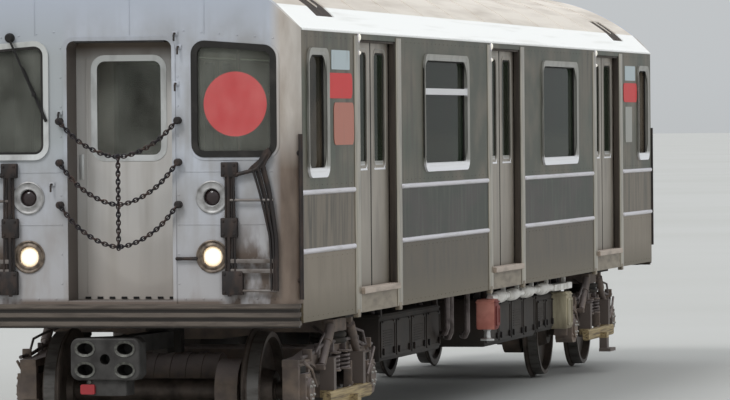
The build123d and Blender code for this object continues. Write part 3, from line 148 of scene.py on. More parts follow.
def rising(tree, value, low, high):
    """A share that is 0 below low and 1 above high."""
    return add_node(tree, "ShaderNodeMapRange", {
        "Value": value, "From Min": low, "From Max": high,
    }).outputs["Result"]


def lumps(tree, size, detail=3.0):
    """Soft noise from 0 to 1, in lumps of the given size in metres."""
    place = add_node(tree, "ShaderNodeTexCoord")
    grid = add_node(tree, "ShaderNodeMapping", {
        "Vector": place.outputs["Object"], "Scale": [1 / length for length in size],
    })
    noise = add_node(tree, "ShaderNodeTexNoise", {
        "Vector": grid.outputs["Vector"], "Scale": 1.0, "Detail": detail,
    })
    return noise.outputs["Fac"]


def patches(tree, clean, dirty, size, low, high, detail=5.0):
    """Colour that turns from clean to dirty as the noise goes from low to high."""
    return blend(tree, rising(tree, lumps(tree, size, detail), low, high), clean, dirty)


def by_height(tree, lower, upper, z0, z1):
    """Colour that turns from lower to upper between two heights."""
    return blend(tree, rising(tree, coordinate(tree, "Z"), z0, z1), lower, upper)


def by_reach(tree, axis, inner, outer, low, high):
    """Colour that turns from inner to outer with the distance from the car's middle."""
    reach = reckon(tree, "ABSOLUTE", coordinate(tree, axis))
    return blend(tree, rising(tree, reach, low, high), inner, outer)


def between(tree, axis, inside, outside, low, high):
    """Colour inside two places along an axis, and outside them."""
    place = coordinate(tree, axis)
    over, under = reckon(tree, "GREATER_THAN", place, low), reckon(tree, "LESS_THAN", place, high)
    return blend(tree, reckon(tree, "MULTIPLY", over, under), outside, inside)


def grain(tree, shader, size, rise):
    """Fine relief of the given size and rise, in metres, on the whole surface."""
    relief = add_node(tree, "ShaderNodeBump", {
        "Height": lumps(tree, size), "Distance": rise, "Strength": 1.0,
    })
    tree.links.new(relief.outputs["Normal"], shader.inputs["Normal"])


def soiled(name, clean, dirty, size, low, high, relief=None, **even):
    """A material in soft patches of two colours; relief is its grain's size and rise."""
    material, tree, shader = new_material(name, clean, **even)
    tree.links.new(
        patches(tree, clean, dirty, size, low, high), shader.inputs["Base Color"]
    )
    if relief:
        grain(tree, shader, *relief)
    return material


# pale concrete: an even matt grey with faint wide clouds
concrete = soiled(
    "matt_concrete_floor", floor_hex, "#adada9", (9.0, 9.0, 9.0), 0.35, 0.75, roughness=0.9
)
disc = bmesh.new()
bmesh.ops.create_circle(disc, cap_ends=True, segments=floor_sides, radius=floor_radius)
floor_mesh = bpy.data.meshes.new("studio_floor")
disc.to_mesh(floor_mesh)
disc.free()
studio_floor = bpy.data.objects.new("studio_floor", floor_mesh)
floor_mesh.materials.append(concrete)
bpy.context.scene.collection.objects.link(studio_floor)

world = bpy.data.worlds.new("overcast_sky")
world.use_nodes = True
bpy.context.scene.world = world
tree = world.node_tree
place = add_node(tree, "ShaderNodeTexCoord")
parts = add_node(tree, "ShaderNodeSeparateXYZ", {"Vector": place.outputs["Generated"]})
height = add_node(tree, "ShaderNodeMapRange", {
    "Value": parts.outputs["Z"], "From Min": sky_span[0], "From Max": sky_span[1],
})
dome = add_node(tree, "ShaderNodeValToRGB", {"Fac": height.outputs["Result"]})
dome.color_ramp.elements[0].color = linear(ground_hex)
dome.color_ramp.elements[1].color = linear(sky_hex)
dome.color_ramp.elements.new(horizon_share).color = linear(horizon_hex)
tree.links.new(dome.outputs["Color"], tree.nodes["Background"].inputs["Color"])
tree.nodes["Background"].inputs["Strength"].default_value = sky_strength

sun = bpy.data.objects.new("sun", bpy.data.lights.new("sun", "SUN"))
sun.data.energy = sun_strength
sun.data.angle = sun_spread
sun.rotation_euler = (sun_pitch, 0, sun_yaw)
bpy.context.scene.collection.objects.link(sun)

# Roof
# One long shell of roll-formed stainless sheet, painted pale, with a canted cove over each
# side that is near-white, partly bare bright stainless and partly painted highlight from the
# sky; welts cover its seams and louvred grilles lie in the shoulder recesses.
roof_hex = "#ddd4c8"
roof_dirt_hex = "#bdb2a5"
cove_highlight_hex = "#fbfbf8"
cove_highlight_dirt_hex = "#dddcd6"
grille_hex = "#463e3a"
cove_gap = 0.004
bed = 0.002     # how far small trim sits in the skin that carries it
welt_count = 11
welt_half = 0.014
welt_rise = 0.005
welt_sink = 0.004
welt_steps = 28
gutter_inset = 0.010
gutter_reach = 0.009
gutter_height = 0.016
louvre_count = 20
louvre_half = 0.007
louvre_sink = 0.010
louvre_thick = 0.012
louvre_steps = 6
grille_length = 0.600
grille_width = 0.247
grille_edge = 0.004
half_turn = Matrix.Rotation(pi, 4, "Z")
mirror = Matrix.Diagonal((1, -1, 1, 1))
side_low, side_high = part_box("side_wall_left")
skin_y = side_high.y
sill_z = side_low.z
eave_z = side_high.z
body_end_x = side_high.x
floor_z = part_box("floor")[1].z
roof_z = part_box("roof")[1].z
mask_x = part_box("end_window_frames")[1].x - 0.010
cove_y = skin_y - 0.180
cove_z = eave_z + 0.175
crown_radius = (cove_y**2 + (roof_z - cove_z)**2) / (2 * (roof_z - cove_z))


def circle(sides):
    """Cosine and sine at equal steps round a circle."""
    turns = [2 * pi * step / sides for step in range(sides)]
    return [(cos(turn), sin(turn)) for turn in turns]


class Form:
    """Gathers the closed shapes of one piece, in car metres, and makes one object of them."""

    def __init__(self):
        self.mesh = bmesh.new()

    def block(self, xs, ys, zs, bevel=0.0):
        """A box between two places along each axis."""
        middle = Vector((sum(xs), sum(ys), sum(zs))) / 2
        size = (abs(xs[1] - xs[0]), abs(ys[1] - ys[0]), abs(zs[1] - zs[0]), 1)
        place = Matrix.Translation(middle) @ Matrix.Diagonal(size)
        made = bmesh.ops.create_cube(self.mesh, size=1, matrix=place)["verts"]
        if bevel:
            edges = dict.fromkeys(edge for vert in made for edge in vert.link_edges)
            bmesh.ops.bevel(
                self.mesh, geom=list(edges), offset=bevel, segments=2, affect="EDGES",
                profile=0.5,
            )

    def loft(self, loops, closed=False):
        """A closed skin over loops of equally many points; closed joins the last to the first."""
        rows = [[self.mesh.verts.new(point) for point in loop] for loop in loops]
        pairs = list(zip(rows, rows[1:]))
        if closed:
            pairs.append((rows[-1], rows[0]))
        else:
            self.mesh.faces.new(rows[0][::-1])
            self.mesh.faces.new(rows[-1])
        for one, other in pairs:
            for index in range(len(one)):
                after = (index + 1) % len(one)
                self.mesh.faces.new((one[index], one[after], other[after], other[index]))

    def place(self, along, point, depth):
        """A point drawn across an axis, set at a depth along it."""
        a, b = point
        return {"X": (depth, a, b), "Y": (a, depth, b), "Z": (a, b, depth)}[along]

    def plate(self, outline, along, low, high):
        """An outline drawn across an axis, stretched along it."""
        self.loft([
            [self.place(along, point, depth) for point in outline] for depth in (low, high)
        ])

    def ring(self, outer, inner, along, low, high, dish=0.0):
        """The band between two outlines; dish sinks its inner rim."""
        self.loft([
            [self.place(along, point, low) for point in outer],
            [self.place(along, point, high) for point in outer],
            [self.place(along, point, high - dish) for point in inner],
            [self.place(along, point, low) for point in inner],
        ], closed=True)

    def bar(self, points, radius, sides=8):
        """A round bar along straight runs, mitred where they meet."""
        route = [Vector(point) for point in points]
        runs = [(b - a).normalized() for a, b in zip(route, route[1:])]
        side = runs[0].orthogonal().normalized()
        loops = []
        for index, point in enumerate(route):
            before = runs[max(index - 1, 0)]
            after = runs[min(index, len(runs) - 1)]
            heading = (before + after).normalized()
            side = (side - heading * side.dot(heading)).normalized()
            other = heading.cross(side)
            mitre = 1 / max(heading.dot(after), 0.5)
            reach = radius * (1 + mitre) / 2
            loops.append([point + (side * c + other * s) * reach for c, s in circle(sides)])
        self.loft(loops)

    def turned(self, profile, centre, axis, sides=24):
        """A shape of revolution: radius against distance along the axis from the centre."""
        middle = Vector(centre)
        heading = Vector(axis).normalized()
        side = heading.orthogonal().normalized()
        other = heading.cross(side)
        self.loft([
            [middle + heading * along + (side * c + other * s) * max(radius, 0.0004)
             for c, s in circle(sides)]
            for radius, along in profile
        ])

    def moved(self, turn):
        """Moves all so far by a matrix."""
        bmesh.ops.transform(self.mesh, matrix=turn, verts=self.mesh.verts)
        return self

    def copies(self, turn):
        """Adds a copy of all so far, moved by a matrix."""
        everything = self.mesh.verts[:] + self.mesh.edges[:] + self.mesh.faces[:]
        made = bmesh.ops.duplicate(self.mesh, geom=everything)["geom"]
        moved = [item for item in made if isinstance(item, bmesh.types.BMVert)]
        bmesh.ops.transform(self.mesh, matrix=turn, verts=moved)

    def on_both_sides(self):
        """Adds the mirror image across the car's middle plane."""
        self.copies(mirror)
        return self

    def at_both_ends(self):
        """Adds a copy turned half round about the car's upright middle."""
        self.copies(half_turn)
        return self

    def piece(self, name, body, slot, material, sharp=38):
        """Turns the shapes into an object that rides on a body."""
        bmesh.ops.recalc_face_normals(self.mesh, faces=self.mesh.faces)
        data = bpy.data.meshes.new(name)
        self.mesh.to_mesh(data)
        self.mesh.free()
        data.shade_smooth()
        data.set_sharp_from_angle(angle=radians(sharp))
        data.materials.append(material)
        made = bpy.data.objects.new(name, data)
        bpy.context.scene.collection.objects.link(made)
        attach(made, body)
        return made


def finish_nodes(material, *nodes):
    """Gives CAD nodes a material in every slot."""
    for node in nodes:
        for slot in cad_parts[node].material_slots:
            slot.material = material


def roof_height(y):
    """Height of the roof's skin at a distance from the car's middle plane."""
    across = abs(y)
    if across < cove_y:
        return roof_z - crown_radius + sqrt(crown_radius**2 - across**2)
    return cove_z - (across - cove_y) * (cove_z - eave_z) / (skin_y - cove_y)


# rolled sheet under weathered pale paint: chalky on the crown; the cove is near-white, partly
# bare stainless and partly painted highlight from the sky, with faint dirt
roof_paint, tree, shader = new_material("weathered_pale_roof_paint", roof_hex, roughness=0.55)
crown = patches(tree, roof_hex, roof_dirt_hex, (1.6, 0.12, 0.5), 0.42, 0.72)
washed_and_highlit = patches(tree, cove_highlight_hex, cove_highlight_dirt_hex, (2.2, 0.3, 0.05), 0.55, 0.85)
tree.links.new(
    by_height(tree, washed_and_highlit, crown, cove_z - cove_gap, cove_z + cove_gap),
    shader.inputs["Base Color"],
)
grain(tree, shader, (0.5, 0.5, 0.5), 0.004)
finish_nodes(roof_paint, "roof")

# black painted steel: dull, almost lost in its own shadow
grille_paint = soiled(
    "black_grille_paint", grille_hex, "#5d5248", (0.08, 0.08, 0.08), 0.45, 0.7, roughness=0.7
)
finish_nodes(grille_paint, "roof_vents")


def new_group(name, sizes):
    """A Geometry Nodes tree with a geometry input, named size inputs and a geometry output."""
    group = bpy.data.node_groups.new(name, "GeometryNodeTree")
    group.interface.new_socket("Geometry", in_out="INPUT", socket_type="NodeSocketGeometry")
    for size, kind in sizes.items():
        group.interface.new_socket(size, in_out="INPUT", socket_type=f"NodeSocket{kind}")
    group.interface.new_socket("Geometry", in_out="OUTPUT", socket_type="NodeSocketGeometry")
    return group, add_node(group, "NodeGroupInput").outputs


def close_group(group, geometry, material):
    """Ends a tree: real geometry, with its material."""
    real = add_node(group, "GeometryNodeRealizeInstances", {"Geometry": geometry})
    painted = add_node(group, "GeometryNodeSetMaterial", {"Geometry": real.outputs["Geometry"]})
    painted.inputs["Material"].default_value = material
    add_node(group, "NodeGroupOutput", {"Geometry": painted.outputs["Geometry"]})


def grown(name, group, sizes, body, start=None):
    """Runs a tree with its sizes set, on a start mesh or on nothing, into one plain piece."""
    host = bpy.data.objects.new(name + "_host", start or bpy.data.meshes.new(name + "_host"))
    bpy.context.scene.collection.objects.link(host)
    modifier = host.modifiers.new("tree", "NODES")
    modifier.node_group = group
    for item in group.interface.items_tree:
        if item.in_out == "INPUT" and item.name in sizes:
            modifier[item.identifier] = sizes[item.name]
    graph = bpy.context.evaluated_depsgraph_get()
    mesh = bpy.data.meshes.new_from_object(host.evaluated_get(graph), depsgraph=graph)
    host.modifiers.remove(modifier)
    bpy.data.objects.remove(host)
    mesh.name = name
    mesh.shade_smooth()
    mesh.set_sharp_from_angle(angle=radians(38))
    made = bpy.data.objects.new(name, mesh)
    bpy.context.scene.collection.objects.link(made)
    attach(made, body)
    return made


def strip_row(name, material):
    """A tree that sets copies of a strip's mesh in a row along the car."""
    group, inputs = new_group(name, {"Count": "Int", "Start": "Float", "Pitch": "Float"})
    offset = add_node(group, "ShaderNodeCombineXYZ", {"X": inputs["Pitch"]})
    first = add_node(group, "ShaderNodeCombineXYZ", {"X": inputs["Start"]})
    row = add_node(group, "GeometryNodeMeshLine", {
        "Count": inputs["Count"], "Start Location": first.outputs["Vector"],
        "Offset": offset.outputs["Vector"],
    })
    copies = add_node(group, "GeometryNodeInstanceOnPoints", {
        "Points": row.outputs["Mesh"], "Instance": inputs["Geometry"],
    })
    close_group(group, copies.outputs["Instances"], material)
    return group


def strip_over_roof(y0, y1, half, low, high, steps):
    """The mesh of one strip that follows the roof's skin across the car."""
    form = Form()
    loops = []
    for step in range(steps + 1):
        y = y0 + (y1 - y0) * step / steps
        z0, z1 = roof_height(y) + low, roof_height(y) + high
        loops.append([(-half, y, z0), (half, y, z0), (half, y, z1), (-half, y, z1)])
    form.loft(loops)
    bmesh.ops.recalc_face_normals(form.mesh, faces=form.mesh.faces)
    data = bpy.data.meshes.new("roof_strip")
    form.mesh.to_mesh(data)
    form.mesh.free()
    return data


welt_pitch = 2 * body_end_x / (welt_count + 1)
grown(
    "roof_welts", strip_row("row_of_roof_strips", roof_paint),
    {"Count": welt_count, "Start": welt_pitch - body_end_x, "Pitch": welt_pitch},
    "carbody",
    strip_over_roof(-cove_y, cove_y, welt_half, -welt_sink, welt_rise, welt_steps),
)

grille_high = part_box("roof_vents")[1]
louvre_pitch = grille_length / louvre_count
row_of_louvres = strip_row("row_of_louvres", grille_paint)
grille_y1 = grille_high.y - grille_edge
grille_y0 = grille_y1 - grille_width
for number, (start, y0, y1) in enumerate((
    (grille_high.x - grille_length, grille_y0, grille_y1),
    (grille_high.x - grille_length, -grille_y1, -grille_y0),
    (-grille_high.x, grille_y0, grille_y1), (-grille_high.x, -grille_y1, -grille_y0),
), start=1):
    grown(
        f"roof_louvres_{number}", row_of_louvres,
        {"Count": louvre_count, "Start": start + louvre_pitch / 2, "Pitch": louvre_pitch},
        "carbody",
        strip_over_roof(
            y0, y1, louvre_half, -louvre_sink - louvre_thick, -louvre_sink, louvre_steps
        ),
    )

gutters = Form()
gutters.block(
    (gutter_inset - body_end_x, body_end_x - gutter_inset),
    (skin_y - bed, skin_y + gutter_reach), (eave_z - gutter_height, eave_z - 0.001), 0.003,
)
gutters.on_both_sides().piece("roof_gutters", "carbody", "roof_panel", roof_paint)

# Side walls
# Four flat bays a side of spot-welded stainless sheet over a hollow door pocket, with bright
# post strips beside each doorway and rows of weld dimples; dull, with road dirt from below.
steel_hex = "#736a5b"
steel_dim_hex = "#4b463c"
steel_green_reflection_hex = "#50574a"
steel_plum_reflection_hex = "#3b3530"
steel_dark_reflection_hex = "#2d3327"
steel_front_hex = "#7a6f60"
steel_shade_hex = "#484b3e"
steel_ends_hex = "#8a7e6e"
steel_low_hex = "#5e5445"
steel_dust_hex = "#6a5f4b"
post_hex = "#b0a899"
post_half = 0.092
post_reach = 0.005
post_gap = 0.008
post_foot = 0.004
post_head = 0.030
stud_radius = 0.0045
stud_height = 0.0022
stud_pitch = 0.16
stud_edge = 0.035
belt_zs = (1.500, 1.918)
belt_fade = 0.020
dust_rise = 0.240
leaf_overlap = 0.020
shade_reach = 1.400
doorways = []
for number in (1, 2, 3):
    aft_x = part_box(f"door_left_{number}_aft")[0].x
    fore_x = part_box(f"door_left_{number}_fore")[1].x
    doorways.append((aft_x + fore_x) / 2)
door_half = (fore_x - aft_x) / 2 - leaf_overlap

# cold-rolled stainless sheet, brushed lengthwise: a soft sheen with long faint grain; green
# clouds above the belts and dark green and plum patches between them are painted reflection,
# with painted shade over the upper band's middle; brown beside the cabs and with brake dust
# near the sill
side_steel, tree, shader = new_material(
    "brushed_stainless_side", steel_hex, metallic=0.55, roughness=0.42, Specular_IOR_Level=0.2
)
# painted reflection: green clouds over the upper band
clouds = patches(tree, steel_hex, steel_green_reflection_hex, (0.8, 0.8, 0.5), 0.4, 0.6)
upper = patches(tree, clouds, steel_dim_hex, (0.08, 0.08, 0.6), 0.46, 0.72)
shade = patches(tree, steel_shade_hex, steel_hex, (0.5, 0.5, 0.4), 0.45, 0.75)
upper = by_reach(tree, "X", shade, upper, shade_reach, doorways[0])
# painted reflection: dark green and plum patches between the belts
reflection_mottle = patches(tree, steel_plum_reflection_hex, steel_dark_reflection_hex, (0.7, 0.7, 0.25), 0.42, 0.58)
middle = patches(tree, reflection_mottle, steel_green_reflection_hex, (0.10, 0.10, 0.6), 0.5, 0.8)
fore = patches(tree, steel_front_hex, steel_dim_hex, (0.07, 0.07, 0.5), 0.44, 0.72)
middle = by_reach(tree, "X", middle, fore, doorways[0] - door_half, doorways[0] + door_half)
lower = patches(tree, steel_low_hex, steel_dim_hex, (0.12, 0.12, 0.4), 0.42, 0.8)
ends = patches(tree, steel_ends_hex, steel_front_hex, (0.12, 0.12, 0.4), 0.42, 0.8)
lower = by_reach(tree, "X", lower, ends, doorways[0] - door_half, doorways[0] + door_half)
dusty = by_height(tree, steel_dust_hex, lower, sill_z, sill_z + dust_rise)
waist = by_height(tree, dusty, middle, belt_zs[0] - belt_fade, belt_zs[0] + belt_fade)
tree.links.new(
    by_height(tree, waist, upper, belt_zs[1] - belt_fade, belt_zs[1] + belt_fade),
    shader.inputs["Base Color"],
)
grain(tree, shader, (0.9, 0.9, 0.012), 0.0006)
finish_nodes(side_steel, "side_wall_left", "side_wall_right", "door_headers")

# polished stainless strip: brighter than the sheet it is riveted to
post_steel = soiled(
    "polished_stainless_post", post_hex, "#6a655d", (0.06, 0.06, 0.4), 0.45, 0.8,
    metallic=0.7, roughness=0.32,
)
posts = Form()
for x in doorways:
    for edge in (x - door_half - post_gap - post_half, x + door_half + post_gap + post_half):
        posts.block(
            (edge - post_half, edge + post_half), (skin_y - 0.001, skin_y + post_reach),
            (sill_z + post_foot, eave_z - post_head), 0.002,
        )
posts.on_both_sides().piece("door_posts", "carbody", "frame_metal", post_steel)


def stud_tree(name, material):
    """A tree that sets a low round head on each point, standing along its outward direction."""
    group, inputs = new_group(name, {"Radius": "Float", "Height": "Float"})
    head = add_node(group, "GeometryNodeMeshCone", {
        "Vertices": 10, "Radius Bottom": inputs["Radius"], "Depth": inputs["Height"],
    }, fill_type="NGON")
    top = reckon(group, "MULTIPLY", inputs["Radius"], 0.62)
    group.links.new(top, head.inputs["Radius Top"])
    outward = add_node(group, "GeometryNodeInputNamedAttribute", {"Name": "outward"},
                       data_type="FLOAT_VECTOR")
    heading = add_node(group, "FunctionNodeAlignRotationToVector", {
        "Vector": outward.outputs["Attribute"],
    }, axis="Z")
    dots = add_node(group, "GeometryNodeMeshToPoints", {"Mesh": inputs["Geometry"]})
    heads = add_node(group, "GeometryNodeInstanceOnPoints", {
        "Points": dots.outputs["Points"], "Instance": head.outputs["Mesh"],
        "Rotation": heading.outputs["Rotation"],
    })
    close_group(group, heads.outputs["Instances"], material)
    return group


def studs(name, group, places, radius, height, body):
    """Heads at the given (point, outward) places."""
    dots = bpy.data.meshes.new(name + "_places")
    dots.from_pydata([point for point, _ in places], [], [])
    outward = dots.attributes.new("outward", "FLOAT_VECTOR", "POINT")
    for index, (_, direction) in enumerate(places):
        outward.data[index].vector = direction
    return grown(name, group, {"Radius": radius, "Height": height}, body, dots)


weld_studs = stud_tree("weld_dimples", side_steel)
bay_ends = [body_end_x]
for x in doorways:
    bay_ends += [x + door_half, x - door_half]
bay_ends.append(-body_end_x)
bays = list(zip(bay_ends[1::2], bay_ends[::2]))
belt_low, belt_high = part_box("belt_rails")
stud_places = []
for x0, x1 in bays:
    count = int((x1 - x0 - 4 * stud_edge) / stud_pitch)
    for step in range(count + 1):
        x = (x0 + x1) / 2 + (step - count / 2) * stud_pitch
        for z in (sill_z + stud_edge, eave_z - 1.6 * stud_edge, belt_low.z - stud_edge,
                  belt_high.z + stud_edge):
            for side in (-1, 1):
                stud_places.append(((x, side * skin_y, z), (0, side, 0)))
studs("weld_dimple_rows", weld_studs, stud_places, stud_radius, stud_height, "carbody")

# Belt rails
# Two bright half-round mouldings along each bay, between the doorways' posts, of polished
# stainless, spot-welded on and closed by a pressed cap at each end.
belt_hex = "#dfdbe1"
belt_half = 0.019
belt_reach = 0.016
belt_steps = 8
cap_length = 0.012
cap_share = 0.3

# polished moulding: catches the sky along its upper half, thin dirt below
belt_steel = soiled(
    "polished_belt_moulding", belt_hex, "#b5b2ae", (0.3, 0.3, 0.012), 0.5, 0.9,
    metallic=0.5, roughness=0.3,
)
belts = Form()
for x0, x1 in bays:
    start = x0 + (2 * post_half + 2 * post_gap if x0 > -body_end_x else cap_length)
    end = x1 - (2 * post_half + 2 * post_gap if x1 < body_end_x else cap_length)
    for belt_z in belt_zs:
        belts.loft([
            [(x, skin_y - bed + (belt_reach * cos(turn) + bed) * size,
              belt_z + belt_half * sin(turn) * size)
             for turn in (pi * (step / belt_steps - 0.5) for step in range(belt_steps + 1))]
            for x, size in ((start, cap_share), (start + cap_length, 1), (end - cap_length, 1),
                            (end, cap_share))
        ])
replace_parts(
    belts.on_both_sides().piece("belt_mouldings", "carbody", "belt", belt_steel), "belt_rails"
)

# Sign plates
# Blank enamelled plates by each cab: a pale one over a red one, and under them a salmon plate
# at the front and a narrow pale one at the back.
sign_pale_hex = "#b9c6ca"
sign_red_hex = "#d6181a"
sign_strip_hex = "#a3a29b"
sign_salmon_hex = "#b8705d"
sign_reach = 0.004
sign_radius = 0.015
round_radius = 0.060
# which ends, middle of the plate from there, width, lowest and highest point, corner radius,
# colour, name
sign_rows = (
    ((1, -1), 1.243, 0.600, 2.800, 2.942, sign_radius, sign_pale_hex, "pale"),
    ((1, -1), 1.238, 0.780, 2.590, 2.775, round_radius, sign_red_hex, "red"),
    ((1,), 1.343, 0.660, 2.250, 2.560, round_radius, sign_salmon_hex, "salmon"),
    ((-1,), 1.343, 0.380, 2.200, 2.545, sign_radius, sign_strip_hex, "narrow"),
)


def rounded(x, z, width, height, radius, steps=6):
    """A rounded rectangle's outline about its middle, anticlockwise from the lower right."""
    points = []
    corners = ((1, -1, -90), (1, 1, 0), (-1, 1, 90), (-1, -1, 180))
    for across, rise, start in corners:
        for step in range(steps + 1):
            turn = radians(start + 90 * step / steps)
            points.append((
                x + across * (width / 2 - radius) + radius * cos(turn),
                z + rise * (height / 2 - radius) + radius * sin(turn),
            ))
    return points


for ends, inset, width, low_z, high_z, radius, hex_code, word in sign_rows:
    # stove enamel on thin plate: smooth and a little glossy, dulled by washing
    enamel = soiled(
        f"{word}_sign_enamel", hex_code, "#7d6a62", (0.12, 0.12, 0.3), 0.6, 1.2,
        roughness=0.4, Specular_IOR_Level=0.2,
    )
    plate = Form()
    z = (low_z + high_z) / 2
    for end in ends:
        plate.plate(
            rounded(end * (body_end_x - inset), z, width, high_z - low_z, radius), "Y",
            skin_y + 0.0004, skin_y + sign_reach,
        )
    made = plate.on_both_sides().piece(f"{word}_sign_plates", "carbody", "sign", enamel)
    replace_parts(made, "sign_plates")

# Step lamps
# A small clear lamp with a polished rim over each doorway, ahead of its middle, that lights
# while the doors are open; a smaller one sits below it.
step_lamp_ahead = 0.67
step_lamp_z = 3.045
step_lamp_radius = 0.034
step_lamp_reach = 0.022
step_lamp_drop = 0.115

# clear acrylic dome over a lamp: bright, smooth
acrylic = new_material(
    "clear_acrylic_dome", "#f1efe6", roughness=0.18, Emission_Color=linear("#fff6e2"),
    Emission_Strength=0.35,
)[0]
domes, rims = Form(), Form()
for x in doorways:
    for z, radius in ((step_lamp_z, step_lamp_radius),
                      (step_lamp_z - step_lamp_drop, step_lamp_radius * 0.55)):
        centre = (x + step_lamp_ahead, skin_y, z)
        domes.turned([
            (0, 0), (radius * 0.8, 0), (radius * 0.8, 0.45 * step_lamp_reach),
            (radius * 0.55, 0.8 * step_lamp_reach), (0, step_lamp_reach),
        ], centre, (0, 1, 0), 16)
        rims.turned([
            (radius * 0.78, 0), (radius * 1.25, 0), (radius * 1.2, 0.3 * step_lamp_reach),
            (radius * 0.9, 0.42 * step_lamp_reach), (radius * 0.78, 0.3 * step_lamp_reach),
        ], centre, (0, 1, 0), 16)
domes.at_both_ends().piece("step_lamp_domes", "carbody", "lens", acrylic)
rims.at_both_ends().piece("step_lamp_rims", "carbody", "bezel", belt_steel)

# Side windows
# Extruded aluminium frames clamp each pane of tinted laminated glass in a black rubber bead;
# the forward bay windows have a transom under a hopper light.
frame_hex = "#cfd0ce"
glass_hex = "#d6ded5"
side_film_hex = "#273126"
side_film = 0.66
side_gloss = 0.02
end_film_hex = "#96978f"
cab_film_hex = "#62574a"
cab_film_x = 6.2
end_film = 0.36
end_gloss = 0.2
trim_reach = 0.018
trim_dish = 0.015
trim_foot = 0.020
trim_radius = 0.190
rubber_hex = "#201e1c"
sill_highlight_band = (0.055, 0.085)
window_inset = 0.493
cab_window_width = 0.660
bay_window_margin = 1.033
frame_face = 0.050
bead = 0.011
bead_low_y = 0.032
bead_high_y = 0.018
frame_low, frame_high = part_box("side_window_frames")
window_low_z = frame_low.z
window_high_z = frame_high.z
window_radius = 0.110
transom_low_z = 2.629
transom_high_z = 2.679
bay_window_width = doorways[0] - 2 * door_half - 2 * bay_window_margin
transom_half = bay_window_width / 2 - frame_face

# bright anodised extrusion: silvery satin with a darker film of dust in places
aluminium = soiled(
    "anodised_aluminium_frame", frame_hex, "#8e8c88", (0.12, 0.12, 0.3), 0.5, 0.85,
    metallic=0.65, roughness=0.3,
)
# the side windows' trims: every sill and the transom face up and are painted near-white as
# painted highlight from the sky, with a dull film of dust up their sides
highlit_trim, tree, shader = new_material(
    "aluminium_trim_painted_highlights", frame_hex, metallic=0.45, roughness=0.35
)
dull = patches(tree, "#a5a39c", "#86847e", (0.12, 0.12, 0.3), 0.45, 0.8)
# painted highlight: near-white along the sills and across the transom
sills = by_height(tree, "#fbfafc", dull, *(window_low_z + rise for rise in sill_highlight_band))
bars = between(tree, "Z", "#e6e5e6", sills, transom_low_z - 0.01, transom_high_z + 0.01)
opening = (doorways[0] / 2 - transom_half, doorways[0] / 2 + transom_half)
tree.links.new(between(tree, "X", bars, sills, *opening), shader.inputs["Base Color"])
finish_nodes(highlit_trim, "side_window_frames")


def safety_glass(name, film_hex, cab_hex, share, gloss):
    """Clear tinted glass under a film of dust, in its own colour beside the cabs."""
    material, tree, shader = new_material(
        name, film_hex, roughness=0.05, Specular_IOR_Level=gloss
    )
    saloon, cab = (
        patches(tree, clean, "#2b2a22", (0.35, 0.35, 0.5), 0.35, 0.75)
        for clean in (film_hex, cab_hex)
    )
    soil = by_reach(tree, "X", saloon, cab, cab_film_x, cab_film_x + 0.1)
    tree.links.new(soil, shader.inputs["Base Color"])
    clear = add_node(tree, "ShaderNodeBsdfTransparent", {"Color": linear(glass_hex)})
    edge = add_node(tree, "ShaderNodeFresnel", {"IOR": 1.5})
    film = add_node(tree, "ShaderNodeMapRange", {
        "Value": edge.outputs["Fac"], "To Min": share,
    })
    both = add_node(tree, "ShaderNodeMixShader", {
        0: film.outputs["Result"], 1: clear.outputs["BSDF"], 2: shader.outputs["BSDF"],
    })
    tree.links.new(both.outputs["Shader"], tree.nodes["Material Output"].inputs["Surface"])
    return material


# laminated safety glass: green-tinted at the sides, greyer and dustier at the ends
glass = safety_glass(
    "green_tinted_safety_glass", side_film_hex, cab_film_hex, side_film, side_gloss
)
end_glass = safety_glass(
    "dusty_grey_safety_glass", end_film_hex, end_film_hex, end_film, end_gloss
)
finish_nodes(glass, "side_glass")
finish_nodes(end_glass, "end_glass")

# extruded black rubber: dull, slightly grey where it has weathered
rubber = soiled(
    "black_glazing_rubber", rubber_hex, "#3a3734", (0.15, 0.15, 0.15), 0.5, 0.8, roughness=0.9
)


def rounded_corners(corners, radius, steps=6):
    """An outline with each of its corners turned into an arc."""
    points = []
    count = len(corners)
    for index, corner in enumerate(corners):
        here = Vector(corner)
        back = (Vector(corners[index - 1]) - here).normalized()
        on = (Vector(corners[(index + 1) % count]) - here).normalized()
        half = back.angle(on) / 2
        centre = here + (back + on).normalized() * radius / sin(half)
        start = back * radius * cos(half) / sin(half) + here - centre
        sweep = start.angle_signed(on * radius * cos(half) / sin(half) + here - centre)
        for step in range(steps + 1):
            turned = start.copy()
            turned.rotate(Matrix.Rotation(-sweep * step / steps, 2))
            points.append(tuple(centre + turned))
    return points


def window_outline(middle, low, high, width, radius, shrink=0.0):
    """A rounded upright window's outline, moved in all round."""
    half = width / 2 - shrink
    return rounded_corners([
        (middle - half, low + shrink), (middle + half, low + shrink),
        (middle + half, high - shrink), (middle - half, high - shrink),
    ], radius - shrink)


def side_window(shrink, radius=window_radius):
    """The outline of every left side window, moved in all round."""
    return [
        window_outline(middle, window_low_z, window_high_z, width, radius, shrink)
        for middle, width in (
            (body_end_x - window_inset, cab_window_width), (doorways[0] / 2, bay_window_width),
            (-doorways[0] / 2, bay_window_width), (window_inset - body_end_x, cab_window_width),
        )
    ]


beads = Form()
for outer, inner in zip(side_window(frame_face), side_window(frame_face + bead)):
    beads.ring(outer, inner, "Y", skin_y - bead_low_y, skin_y - bead_high_y)
beads.on_both_sides().piece("side_glazing_beads", "carbody", "gasket", rubber)
trims = Form()
for outer, inner in zip(side_window(0), side_window(frame_face, trim_radius)):
    raised = [(x, max(z, window_low_z + frame_face + trim_foot)) for x, z in inner]
    trims.ring(outer, raised, "Y", skin_y + 0.001, skin_y + trim_reach, trim_dish)
trims.on_both_sides().piece("side_window_trims", "carbody", "frame_metal", highlit_trim)

